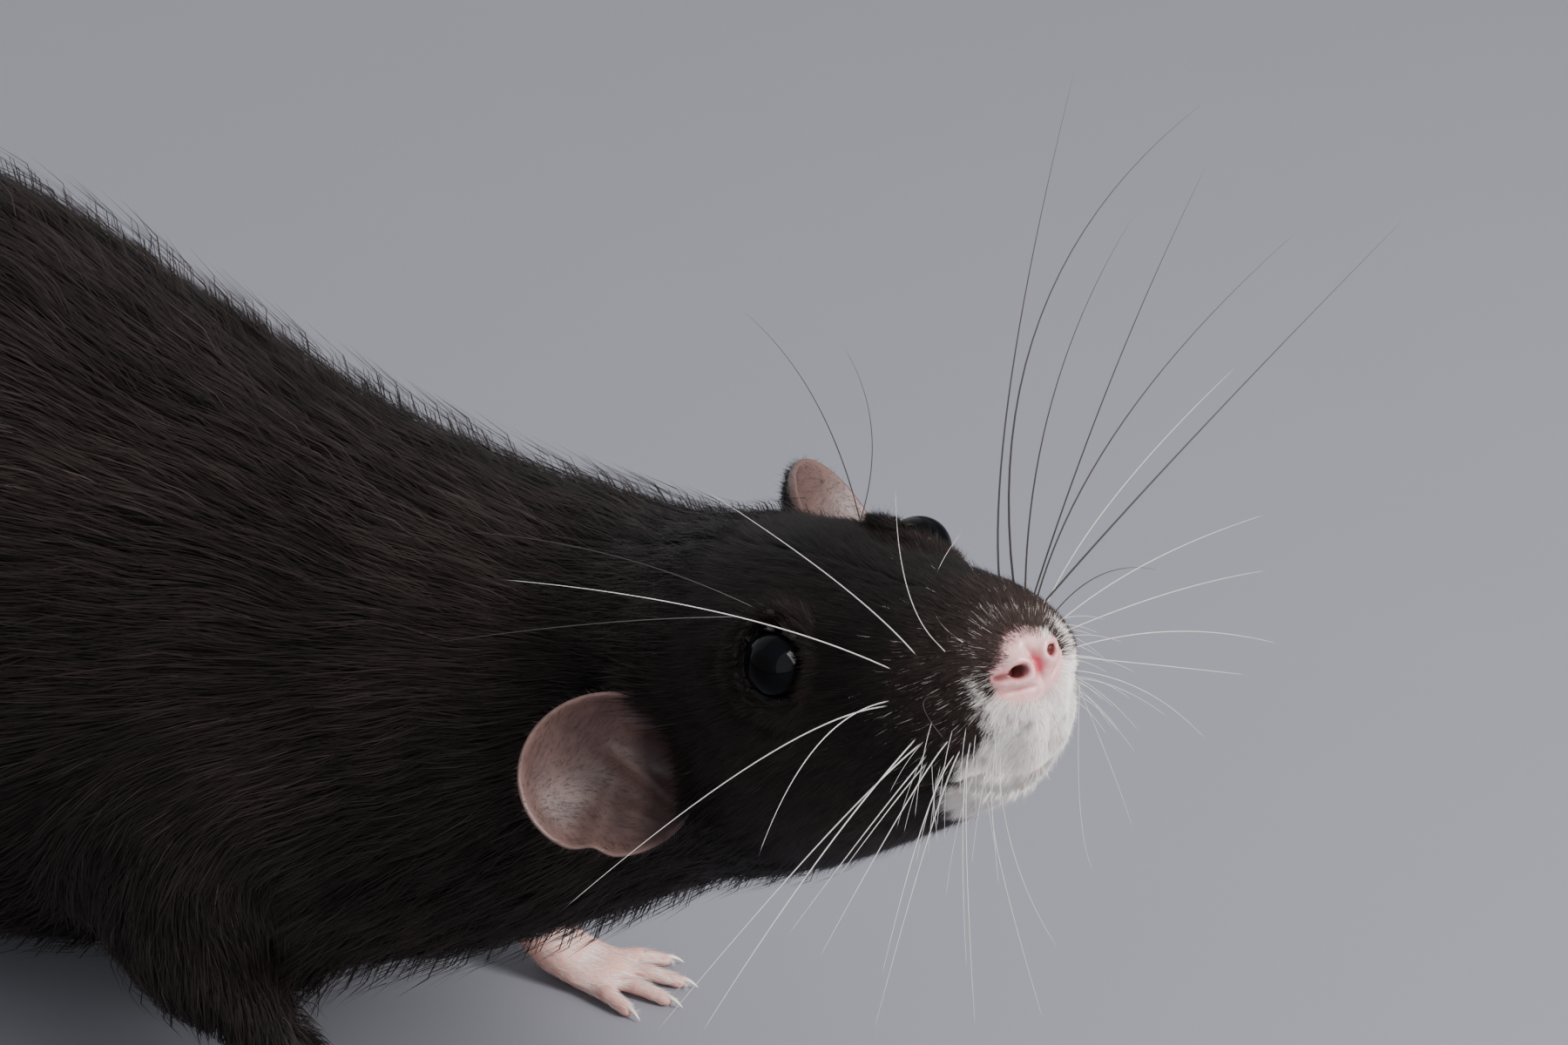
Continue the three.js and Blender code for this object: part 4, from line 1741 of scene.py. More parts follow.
# ---- Coat ----
class Area(Enum):
    """The pieces of the coat: name, number of hairs, and whether they bend."""

    MUZZLE = ("coat_muzzle", 190000, False)
    FACE = ("coat_face", 195000, False)
    NAPE = ("coat_nape", 66000, True)
    SHOULDERS = ("coat_shoulders", 66000, True)
    RIGHT = ("coat_right_side", 66000, True)
    LEFT = ("coat_left_side", 66000, True)
    LEGS = ("coat_legs_and_belly", 62000, True)
    DOWN = ("down_of_ears_feet_tail", 100000, False)


@dataclass
class Lie:
    """How the coat lies: its way, length and height over the skin at each place."""

    flesh: Flesh
    points: Array
    place: Array = field(init=False)
    near: dict[str, Array] = field(init=False)

    def __post_init__(self) -> None:
        """Finds where the points are on the animal."""
        self.place = HEAD.into(self.points)
        self.near = {k: v.at(self.points) for k, v in self.flesh.near.items()}

    def way(self) -> Array:
        """The way that the hairs point, not yet turned along the skin.

        Returns:
            The ways, one to a row.
        """
        place, points = self.place, self.points
        side = np.sign(place[:, 0])
        ahead = np.zeros_like(place)
        ahead[:, 1] = 1.0
        ahead[:, 2] = -0.25 * ramp(2.0, -8.0, place[:, 2])
        ahead[:, 0] = 0.18 * side * ramp(-22.0, -8.0, place[:, 1])
        swirls = [(eye.centre, 0.9, 2.5, 3.2) for eye in EYES.values()]
        swirls += [(NOSE_PAD, 1.6, 2.0, 4.0)]
        swirls += [(vec(*ear.root), 0.5, 0.0, 7.0) for ear in EARS.values()]
        for middle, strength, near, reach in swirls:
            gap = place - middle
            far = length(gap)
            ahead += strength * gap / far * bell(far - near, reach)
        head = HEAD.way(ahead)
        trunk = np.zeros_like(points)
        trunk[:, 1] = 1.0
        flank = ramp(70.0, 40.0, points[:, 2]) * ramp(4.0, 14.0, points[:, 2])
        trunk[:, 2] = -0.42 * flank
        root = vec(SPINE_X, 84.0, 16.0) - points
        trunk = mix(trunk, unit(root), 0.75 * ramp(50.0, 82.0, points[:, 1:2]))
        made = mix(head, trunk, ramp(8.0, 40.0, place[:, 1:2]))
        down = np.zeros_like(points)
        down[:] = (0.0, -0.15, -1.0)
        made = mix(made, down, 0.9 * self.near["foreleg"][:, None] * ramp(48.0, 26.0, points[:, 2:]))
        down[:] = (0.0, 0.45, -0.9)
        made = mix(made, down, 0.8 * self.near["haunch"][:, None] * ramp(60.0, 25.0, points[:, 2:]))
        bare = (self.near["paw"] + self.near["foot"] > 0.4)[:, None]
        for foot in FEET.values():
            gap = points - foot.out(np.array([[0.0, -8.0, 2.0]]))
            close = ramp(26.0, 20.0, length(gap)) * ramp(9.0, 6.0, points[:, 2:])
            made = mix(made, foot.ahead().astype(Real), close * bare)
        tail = self.near["tail"] > 0.4
        if tail.any():
            along = unit(np.gradient(TailLine().points(), axis=0))
            share = ramp(0.4, 0.9, self.near["tail"][tail])[:, None]
            made[tail] = mix(made[tail], along[TailLine().nearest(points[tail])], share)
        return made

    def hair(self) -> Array:
        """The length of the hairs in millimetres.

        Returns:
            The length of each.
        """
        stops = [-25, -22, -18, -12, -4, 6, 16, 30, 45, 70]
        lengths = [0.8, 1.2, 2.0, 2.8, 3.6, 4.6, 5.8, 7.2, 8.6, 10.0]
        made = np.interp(self.place[:, 1], stops, lengths)
        chin = ramp(-10.0, -16.0, self.place[:, 2]) * ramp(0.0, -8.0, self.place[:, 1])
        made = mix(made, 2.2, chin)
        for eye in EYES.values():
            near = bell(eye.away(self.place) - 3.4, 1.9)
            made = mix(made, 1.5, near)
        for ear in EARS.values():
            share, _ = ear.shares(ear.local(self.place))
            close = (np.abs(ear.distance(self.place, 0.25)) < 0.7) & (share < 1.15)
            made = np.where(close, np.where(ear.inside(self.place), 0.8, 1.3), made)
        made = mix(made, 6.0, self.near["foreleg"] * ramp(45.0, 25.0, self.points[:, 2]))
        shank = np.maximum(self.near["foreleg"], self.near["haunch"]) * ramp(20.0, 9.0, self.points[:, 2])
        made = mix(made, 3.2, shank)
        bare = np.maximum(self.near["paw"], self.near["foot"])
        made = mix(made, 1.5, ramp(0.4, 0.9, bare))
        return mix(made, 2.2, ramp(0.4, 0.9, self.near["tail"]))


@dataclass(frozen=True)
class Strand:
    """The outline of one flat hair: how far along each corner is, its side, its map place and its faces."""

    runs: tuple[float, ...]
    sides: tuple[float, ...]
    patch: tuple[tuple[float, float], ...]
    faces: tuple[tuple[int, ...], ...]
    even: float
    """How much of its shading it takes from the skin under it, to lie evenly."""


STRAIGHT = Strand(
    (0.0, 0.0, 1.0),
    (-1.0, 1.0, 0.0),
    ((-0.5, -0.5), (0.5, -0.5), (0.0, 0.5)),
    ((0, 2, 1),),
    0.4,
)
BENT = Strand(
    (0.0, 0.0, 0.55, 0.55, 1.0),
    (-1.0, 1.0, 1.0, -1.0, 0.0),
    ((-0.5, -0.5), (0.5, -0.5), (0.4, 0.0), (-0.4, 0.0), (0.0, 0.5)),
    ((0, 3, 2, 1), (3, 4, 2)),
    0.25,
)


class Coat:
    """The whole coat, as pieces of thin flat hairs that lie along the skin."""

    def __init__(self, flesh: Flesh, skin: Skin) -> None:
        """Finds the faces of the skin that each area of the coat grows on.

        Args:
            flesh: the animal's body.
            skin: its skin.
        """
        self.flesh, self.skin = flesh, skin
        self.corners = np.concatenate(
            [np.concatenate([f[:, [0, 1, 2]], f[:, [0, 2, 3]]]) for f in skin.faces]
        )
        shape = skin.points[self.corners]
        cross = np.cross(shape[:, 1] - shape[:, 0], shape[:, 2] - shape[:, 0])
        centres = shape.mean(1)
        self.areas = self.area_of(centres)
        self.weights = 0.5 * length(cross)[:, 0] * self.thickness(centres, unit(cross))

    def area_of(self, points: Array) -> Array:
        """The number of the coat's area at each point.

        Args:
            points: places in the part's frame.

        Returns:
            A number for each.
        """
        muzzle, face, nape, shoulders, right, left, legs, down = range(len(Area))
        back = HEAD.into(points)[:, 1]
        near = {k: v.at(points) for k, v in self.flesh.near.items()}
        made = np.full(len(points), shoulders)
        made[back < 38] = nape
        made[back < 9] = face
        made[back < -9.5] = muzzle
        trunk = points[:, 1] > -24
        made[trunk] = np.where(points[trunk, 0] < SPINE_X, right, left)
        limb = (np.maximum(near["foreleg"], near["haunch"]) > 0.6) & (points[:, 2] < 26)
        made[((points[:, 2] < 15) | limb) & (back > 30)] = legs
        marks = self.skin.marks(points)
        made[(marks["ear"] > 0.5) | (marks["foot"] > 0.5) | (marks["tail"] > 0.5)] = down
        return made

    def thickness(self, points: Array, normals: Array) -> Array:
        """How densely hairs grow at each point, from 0.

        Args:
            points: places in the part's frame.
            normals: the skin's outward directions there.

        Returns:
            The density at each.
        """
        place = HEAD.into(points)
        marks = self.skin.marks(points)
        pad = MUZZLE.pad_reach(place)
        upper = ramp(-4.6, -2.6, place[:, 2])
        made = ramp(0.88 - 0.24 * upper, 1.08, pad) * (1 - 0.35 * upper * ramp(1.7, 1.15, pad))
        made *= ramp(3.55, 4.3, eye_gap(place))
        closed = np.abs(MUZZLE.mouth_height(place)) < 0.35
        made[closed & (place[:, 1] < -12) & (length(place)[:, 0] < 32)] = 0.0
        made *= 1.0 + 1.6 * ramp(-14.0, -22.0, place[:, 1])
        down = (marks["foot"] > 0.5) | (marks["tail"] > 0.5) | (marks["ear"] > 0.5)
        sole = (points[:, 2] < 0.9) & (normals[:, 2] < -0.3)
        made[sole] = 0.0
        made[down & (marks["tail"] > 0.5)] *= 0.3
        for ear in EARS.values():
            made[(marks["ear"] > 0.5) & ear.inside(place)] *= 0.2
        return np.maximum(made, 0.0)

    def bake_places(self, area: Area, points: Array) -> Array:
        """Where each root lies on an unwrap of the skin's own shape, from 0 to 1.

        Args:
            area: the area of the coat.
            points: the roots.

        Returns:
            The places on the map.
        """
        place = HEAD.into(points)
        if area in (Area.MUZZLE, Area.FACE, Area.NAPE):
            turn = np.arctan2(place[:, 0], place[:, 2] + 8.0) / (2 * pi) + 0.5
            run = place[:, 1]
        elif area is Area.DOWN:
            islands = [length(ear.local(place))[:, 0] - 11 for ear in EARS.values()]
            islands += [length(points - foot.middle)[:, 0] - 24 for foot in FEET.values()]
            which = np.argmin(np.stack([*islands, np.full(len(points), 0.0)]), 0)
            turn, run = np.zeros((2, len(points)))
            for i, ear in enumerate(EARS.values()):
                rows = which == i
                local = ear.local(place[rows])
                back = local[:, 1] + ear.bowl * 0.6 < 0
                turn[rows] = (local[:, 0] + 10) / 20 * 0.2 + 0.22 * (2 * i + back)
                run[rows] = (local[:, 2] + 10) / 20 * 0.3
            for i, foot in enumerate(FEET.values()):
                rows = which == i + 2
                gap = points[rows] - foot.middle
                turn[rows] = (gap[:, 0] + 24) / 48 * 0.22 + 0.24 * i
                run[rows] = (gap[:, 1] + 26) / 52 * 0.3 + 0.33
            rows = which == 6
            turn[rows] = np.clip((points[rows, 0] + 30) / 90, 0, 1)
            run[rows] = np.clip((points[rows, 1] - 20) / 110, 0, 1) * 0.3 + 0.67
            return np.stack([turn, run], -1) * 0.98 + 0.01
        else:
            middle = 37.0 if area is not Area.LEGS else 24.0
            turn = np.arctan2(points[:, 0] - SPINE_X, points[:, 2] - middle) / (2 * pi) + 0.5
            run = points[:, 1]
        turn = (turn - turn.min()) / max(float(np.ptp(turn)), 1e-6)
        run = (run - run.min()) / max(float(np.ptp(run)), 1e-6)
        return np.stack([turn, run], -1) * 0.98 + 0.01

    def seeds(self, rows: Array, count: int, rng: np.random.Generator) -> tuple[Array, Array]:
        """Spreads roots over some faces of the skin.

        Args:
            rows: the faces.
            count: how many roots.
            rng: the source of chance.

        Returns:
            The roots, and the skin's outward direction at each.
        """
        chance = self.weights[rows] / self.weights[rows].sum()
        chosen = rows[rng.choice(len(rows), count, p=chance)]
        share = rng.random((count, 2)).astype(Real)
        over = share.sum(1) > 1
        share[over] = 1 - share[over]
        corner = self.skin.points[self.corners[chosen]]
        roots = corner[:, 0] + share[:, :1] * (corner[:, 1] - corner[:, 0])
        roots = (roots + share[:, 1:] * (corner[:, 2] - corner[:, 0])).astype(Real)
        return roots, unit(self.skin.normals[self.corners[chosen]].mean(1)).astype(Real)

    def clumps(self, roots: Array, size: float) -> tuple[Array, int]:
        """Sorts the roots into small uneven bunches, about `size` millimetres wide.

        Args:
            roots: the hairs' roots.
            size: about how wide a bunch is, in millimetres.

        Returns:
            The bunch of each hair, and how many bunches there are.
        """
        bent = roots + np.stack([0.6 * size * Ripple(30 + a, 3.1 * size).at(roots) for a in range(3)], -1)
        cell = np.floor(bent / size).astype(np.int64)
        key = (cell[:, 0] * CELLS + cell[:, 1]) * CELLS + cell[:, 2]
        _, clump = np.unique(key, return_inverse=True)
        return clump, int(clump.max()) + 1

    def grow(self, area: Area, finish: Material) -> Object:
        """Grows the hairs of one area.

        Args:
            area: the area of the coat.
            finish: the hairs' material.

        Returns:
            The piece.
        """
        name, count, bent = area.value
        strand = BENT if bent else STRAIGHT
        number = list(Area).index(area)
        rng = np.random.default_rng(100 + number)
        rows = np.nonzero(self.areas == number)[0]
        roots, normal = self.seeds(rows, count, rng)
        lie = Lie(self.flesh, roots)
        way = lie.way().astype(Real)
        hair = lie.hair()
        depth = self.flesh.deep.at(roots)
        clump, many = self.clumps(roots, 0.55 + 0.16 * hair.mean())
        sway = 0.12 * Ripple(21, 11.0).at(roots) + 0.06 * Ripple(22, 4.0).at(roots)
        sway += rng.normal(0, 0.06, many)[clump] + rng.normal(0, 0.07, count)
        way = unit(way - (way * normal).sum(-1, keepdims=True) * normal)
        way = unit(way + np.cross(normal, way) * sway[:, None])
        side = np.cross(normal, way)
        hair = hair * rng.uniform(0.72, 1.12, count) * (1 + rng.normal(0, 0.07, many)[clump])
        stray = rng.random(count) < 0.03 + 0.03 * bent
        hair = np.where(stray, hair * 1.15, hair)
        high = depth * rng.uniform(0.4, 1.0, count) * (1 + rng.normal(0, 0.1 + 0.08 * bent, many)[clump])
        high = np.where(stray, depth * rng.uniform(1.0, 1.6 + 0.4 * bent, count) + 0.15, high) + 0.08
        mid = roots + (0.45 * hair)[:, None] * way
        tip = roots + hair[:, None] * way
        centre = np.stack([np.bincount(clump, tip[:, a], many) for a in range(3)], -1)
        centre /= np.bincount(clump, minlength=many)[:, None]
        raised = bell(np.maximum(MUZZLE.pad_reach(lie.place) - 1.0, 0), 0.75)
        hair *= 1 + 0.5 * raised
        high = np.maximum(high, raised * hair * rng.uniform(0.2, 0.6, count))
        pull = 0.27 * rng.uniform(0.1, 1.0, count)
        tip = mix(tip, centre[clump], pull[:, None])
        mid = mix(mid, centre[clump] - (0.55 * hair)[:, None] * way, 0.35 * pull[:, None])
        rise = np.minimum(0.75 * high + 0.1 * depth, 0.5 * hair)
        for _ in range(2):
            mid -= (self.flesh.skin(mid) - rise)[:, None] * normal * 0.9
            tip -= (self.flesh.skin(tip) - high)[:, None] * normal * 0.9
        roll = rng.normal(0, 0.35, count)[:, None]
        flat = unit(side * np.cos(roll) + normal * np.sin(roll))
        stops = [-25, -12, 0, 9, 24, 45, 70]
        wide = np.interp(lie.place[:, 1], stops, [0.045, 0.055, 0.07, 0.085, 0.1, 0.13, 0.145])
        wide = np.where(area is Area.DOWN, 0.045, wide)
        half = 0.5 * (wide * rng.uniform(0.75, 1.2, count))[:, None]
        low = roots - 0.12 * normal
        edges = [low - flat * half, low + flat * half]
        if bent:
            edges += [mid + flat * half * 0.85, mid - flat * half * 0.85]
        points = np.stack([*edges, tip], 1)
        points[:, :, 2] = np.maximum(points[:, :, 2], 0.05)
        index = np.arange(count)[:, None] * len(strand.runs)
        faces = [index + np.array(face) for face in strand.faces]
        piece = make_piece(name, points.reshape(-1, 3), faces)
        facing = strand.even * normal + (1 - strand.even) * np.cross(way, flat)
        facing = unit(facing[:, None] + 0.4 * np.array(strand.sides)[None, :, None] * flat[:, None])
        piece.data.normals_split_custom_set_from_vertices(facing.reshape(-1, 3).astype(Real))
        self.mark(piece, lie, roots, clump, many, rng, strand.runs)
        spots = self.bake_places(area, roots)[:, None] + BAKE_PATCH * np.array(strand.patch)[None]
        lay_out(piece, np.concatenate([spots[:, face].reshape(-1, 2) for face in strand.faces]))
        LOG.info("%s: %d hairs, %.1f to a square millimetre", name, count, count / self.weights[rows].sum())
        dress(piece, finish)
        return piece

    def mark(
        self, piece: Object, lie: Lie, roots: Array, clump: Array, many: int,
        rng: np.random.Generator, runs: tuple[float, ...],
    ) -> None:
        """Stores each hair's colouring on its vertices.

        Args:
            piece: the hairs.
            lie: where they grow on the animal.
            roots: their roots.
            clump: the bunch of each.
            many: how many bunches there are.
            rng: the source of chance.
            runs: how far along the hair each of its corners is.
        """
        count = len(roots)
        place = lie.place
        marks = self.skin.marks(roots)
        reach = MUZZLE.pad_reach(place)
        upper = ramp(-4.6, -2.8, place[:, 2])
        rim = bell(reach - 1.14, 0.17) * mix(0.6, 0.05, upper)
        white = np.maximum(marks["white"], rim)
        flat = place * vec(0, 1, 1)
        pad = bell(length(flat - vec(0, -18.5, -6.0))[:, 0], 5.5)
        white = np.maximum(white, 0.012 * pad)
        is_white = (white > rng.random(count)).astype(Real)
        is_white *= 1 - 0.62 * MUZZLE.spotted(place)
        tone = np.clip(rng.normal(1.0, 0.2, count) + rng.normal(0, 0.16, many)[clump], 0.45, 1.9)
        is_white *= 1 - 0.16 * ramp(1.0, 0.55, tone)
        tone = np.where(rng.random(count) < 0.06, tone * 2.0, tone)
        tone *= 1 + 0.14 * Ripple(40, 12.0).at(roots)
        fore = ramp(-5.0, -20.0, place[:, 1])
        # painted shade and light: the coat is painted darker on the head and lighter towards the body, as
        # the light falls, not as a marking
        tone *= 1.35 - 0.65 * ramp(45.0, 2.0, place[:, 1])
        tone *= 1 + fore * (rng.normal(0, 0.3, count).clip(-0.7, 1.2) + 0.2)
        tone *= 1 + 0.36 * rng.normal(0, 1, count).clip(-2, 2.4) * ramp(30.0, 10.0, place[:, 1])
        grey = (rng.random(count) < 0.08 * ramp(-2.0, -16.0, place[:, 1])) & (is_white < 0.4)
        tone = np.where(grey, tone * 2.1, tone)
        warm = warm_marking(place, roots)
        tan = bell(np.maximum(reach - 1.0, 0), 0.42) * mix(0.6, 1.0, upper)
        tone, warm = mix(tone, 1.55 * rng.uniform(0.6, 1.4, count), tan), np.maximum(warm, tan)
        for ear in EARS.values():
            inner = (marks["ear"] > 0.5) & ear.inside(place)
            tone, warm = np.where(inner, 2.0, tone), np.where(inner, 1.0, warm)
        put(piece, "white", np.repeat(is_white, len(runs)))
        put(piece, "tone", np.repeat(tone, len(runs)))
        put(piece, "warm", np.repeat(warm, len(runs)))
        put(piece, "along", np.tile(runs, count))


def warm_marking(place: Array, points: Array) -> Array:
    """Where the dark coat is browner: cheeks, round the eyes and top of the snout, fading out down the neck,
    with a little brown everywhere.

    Args:
        place: places in the head's frame.
        points: the same in the part's frame.

    Returns:
        The brownness at each.
    """
    eye = bell(eye_gap(place) - 2.5, 3.2)
    cheek = bell(place[:, 1] + 4.0, 9.0) * ramp(2.0, -8.0, place[:, 2])
    snout = ramp(-12.0, -22.0, place[:, 1])
    made = 0.3 * eye + 0.5 * cheek + 0.42 * snout + 0.15 + 0.12 * Ripple(60, 14.0).at(points)
    return np.clip(made, 0.0, 1.0) * ramp(45.0, 20.0, place[:, 1]) + 0.1


# ---- Studio ----
@dataclass(frozen=True)
class Studio:
    """Camera, floor and soft lights."""

    azimuth: float = -62.0
    elevation: float = 27.0
    distance: float = 400.0
    offset: tuple[float, float] = (4.7288, -8.3888)
    lens: float = 103.175

    @property
    def axes(self) -> Array:
        """Rows: to the camera's right, up, and towards the camera.

        Returns:
            The three rows.
        """
        a, e = radians(self.azimuth), radians(self.elevation)
        back = np.array([sin(a) * cos(e), -cos(a) * cos(e), sin(e)])
        right = unit(np.cross([0.0, 0.0, 1.0], back))
        return np.stack([right, np.cross(back, right), back])

    def place(self, right: float, up: float, back: float) -> Vector:
        """A point so far from the head, along the camera's axes, in metres."""
        return Vector((np.array(HEAD.origin) + np.array([right, up, back]) @ self.axes) * MM)

    def seen(self, spot: Spot, near: float) -> Array:
        """The point that the camera sees at a spot of its frame.

        Args:
            spot: how far right and down the spot lies in the frame, in its pixels.
            near: how much nearer the point lies than the head's origin, in millimetres.

        Returns:
            The point in the part's frame.
        """
        wide, high = FRAME
        reach = (self.distance - near) / (self.lens / SENSOR * wide)
        right, up = (spot[0] - wide / 2) * reach, (high / 2 - spot[1]) * reach
        return np.array(HEAD.origin) + np.array([right, up, near]) @ self.axes - self.shift

    @property
    def shift(self) -> Array:
        """How far the head lies right of the camera's middle, and up from it."""
        return np.array([*self.offset, 0.0]) @ self.axes

    def camera(self) -> None:
        """Sets up the camera."""
        data = bpy.data.cameras.new("camera")
        data.sensor_width, data.lens = SENSOR, self.lens
        data.clip_start, data.clip_end = 0.01, 20.0
        made = bpy.data.objects.new("camera", data)
        made.location = self.place(-self.offset[0], -self.offset[1], self.distance)
        made.rotation_euler = Matrix([list(row) for row in self.axes.T]).to_euler()
        bpy.context.scene.collection.objects.link(made)
        bpy.context.scene.camera = made

    def lamp(self, name: str, at: Triple, size: tuple[float, float], power: float, tint: Colour) -> None:
        """A soft lamp that looks at the head.

        Args:
            name: its name.
            at: its place from the head, along the camera's axes, in millimetres.
            size: its width and height in metres.
            power: its power in watts.
            tint: its colour.
        """
        data = bpy.data.lights.new(name, "AREA")
        data.shape = "RECTANGLE"
        data.size, data.size_y, data.energy, data.color = *size, power, tint
        made = bpy.data.objects.new(name, data)
        made.location = self.place(*at)
        aim = self.place(0, -10, 0) - made.location
        made.rotation_euler = aim.to_track_quat("-Z", "Y").to_euler()
        bpy.context.scene.collection.objects.link(made)

    def glow(self, name: str, way: Triple, wide: float, power: float, tint: Colour) -> None:
        """A wide even light that reaches the whole floor.

        Args:
            name: its name.
            way: the way towards it, along the camera's axes.
            wide: how wide it looks, in degrees.
            power: its power in watts to a square metre.
            tint: its colour.
        """
        data = bpy.data.lights.new(name, "SUN")
        data.angle, data.energy, data.color = radians(wide), power, tint
        made = bpy.data.objects.new(name, data)
        way = self.place(*way) - self.place(0, 0, 0)
        made.rotation_euler = way.to_track_quat("Z", "Y").to_euler()
        bpy.context.scene.collection.objects.link(made)

    def floor(self) -> None:
        """A plain pale floor."""
        mesh = bpy.data.meshes.new("floor")
        mesh.from_pydata([(-9, -9, 0), (9, -9, 0), (9, 9, 0), (-9, 9, 0)], [], [(0, 1, 2, 3)])
        made = bpy.data.objects.new("floor", mesh)
        bpy.context.scene.collection.objects.link(made)
        material, graph, body = shader("floor", Roughness=0.85)
        base = graph.scaled((0.206, 0.207, 0.238), graph.uneven(30.0, 0.03, 0.985))
        graph.colour(base, body)
        mesh.materials.append(material)

    def build(self) -> None:
        """Sets up everything round the animal."""
        world = bpy.data.worlds.new("studio")
        world.use_nodes = True
        world.node_tree.nodes["Background"].inputs[0].default_value = (0.8, 0.83, 0.9, 1)
        world.node_tree.nodes["Background"].inputs[1].default_value = 0.25
        bpy.context.scene.world = world
        self.camera()
        self.floor()
        self.lamp("key", (500, 250, 430), (0.22, 0.5), 10.0, (1.0, 0.985, 0.97))
        self.lamp("back", (-600, 800, -600), (1.6, 1.6), 4.0, (0.96, 0.97, 1.0))
        self.glow("front", (42, -8, 43), 100.0, 2.8, (1.0, 0.99, 0.98))
        self.glow("sky", (-5, 9, 7), 175.0, 1.15, (0.97, 0.98, 1.0))


# ---- Eyes, claws and whiskers ----
@dataclass(frozen=True)
class Eye:
    """One ball of an eye, with the slight bulge of its cornea."""

    side: str
    rings: int = 40
    sides: int = 64

    def build(self, finish: Material) -> Object:
        """Makes the ball in its socket.

        Args:
            finish: its material.

        Returns:
            The piece.
        """
        place = EYES[self.side]
        axis = place.axis
        across = unit(np.cross(axis, np.array([0.0, 0.0, 1.0])))
        over = np.cross(across, axis)
        turn = np.linspace(0, pi, self.rings + 1)[1:-1]
        spin = np.arange(self.sides) / self.sides * 2 * pi
        size = place.radius * (1 + 0.035 * bell(np.degrees(turn), 42.0))
        points = (
            (size * np.cos(turn))[:, None, None] * axis
            + (size * np.sin(turn))[:, None, None]
            * (np.cos(spin)[None, :, None] * across + np.sin(spin)[None, :, None] * over)
        ).reshape(-1, 3)
        ends = np.stack([axis * size[0] * 1.0005, -axis * place.radius])
        points = np.concatenate([points, ends]) + place.centre
        index = np.arange((self.rings - 1) * self.sides).reshape(self.rings - 1, self.sides)
        after = np.roll(index, -1, 1)
        walls = np.stack([index[:-1], index[1:], after[1:], after[:-1]], -1).reshape(-1, 4)
        last = (self.rings - 1) * self.sides
        front = np.stack([after[0], np.full(self.sides, last), index[0]], -1)
        rear = np.stack([index[-1], np.full(self.sides, last + 1), after[-1]], -1)
        faces = [walls, np.concatenate([front, rear])]
        piece = make_piece(f"eye_ball_{self.side}", HEAD.out(points), faces)
        angle = np.concatenate([np.repeat(np.degrees(turn), self.sides), [0.0, 180.0]])
        put(piece, "turn", angle)
        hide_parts(f"eye_{self.side}")
        LOG.info("eye %s: radius %.1f mm", self.side, place.radius)
        dress(piece, finish)
        return piece


@dataclass(frozen=True)
class Claws:
    """A small hooked claw on each digit."""

    def build(self, finish: Material) -> Object:
        """Makes all claws as one joined mesh.

        Args:
            finish: their material.

        Returns:
            The piece.
        """
        parts, along = [], []
        for foot in FEET.values():
            thick = foot.thick
            for x, y, heading, reach in foot.digits:
                way = heading_way(heading)
                share = np.linspace(0, 1, 9)[:, None]
                start = np.array([x, y, thick * 0.72]) + way * (reach - 0.75)
                line = start + way * share * (foot.claw + 1.0)
                line[:, 2] += thick * (0.3 * np.sin(share[:, 0] * pi) - 0.52 * share[:, 0] ** 1.8)
                line[:, 2] = np.maximum(line[:, 2], 0.12)
                radii = 0.29 * thick * (1 - share[:, 0] ** 1.5) + 0.03
                points, faces = tube(foot.out(line), radii, 8)
                parts.append((points, faces))
                along.append(np.concatenate([np.repeat(share[:-1, 0], 8), [1.0, 0.0]]))
        piece = make_piece("claws", *gathered(parts))
        put(piece, "along", np.concatenate(along))
        LOG.info("claws: %d", len(parts))
        dress(piece, finish)
        return piece


class Tint(Enum):
    """The two colours of whiskers."""

    DARK = "dark"
    PALE = "pale"


@dataclass(frozen=True)
class Whisker:
    """One whisker in the head's frame: where it grows, a place that it passes, and its tip."""

    root: Triple
    via: Triple
    tip: Triple
    thick: float
    share: float = 0.5
    """How far along it the place between is."""

    def line(self, count: int = 22) -> Array:
        """Points of its middle line, from just under the skin to its tip.

        Args:
            count: how many of them lie past the root.

        Returns:
            The points, one to a row.
        """
        root, via, tip = (np.array(p, float) for p in (self.root, self.via, self.tip))
        share = self.share
        bend = (via - (1 - share) ** 2 * root - share**2 * tip) / (2 * share * (1 - share))
        t = np.linspace(0, 1, count)[:, None]
        line = (1 - t) ** 2 * root + 2 * t * (1 - t) * bend + t**2 * tip
        return np.concatenate([[root - 1.2 * unit(line[1] - root)], line])


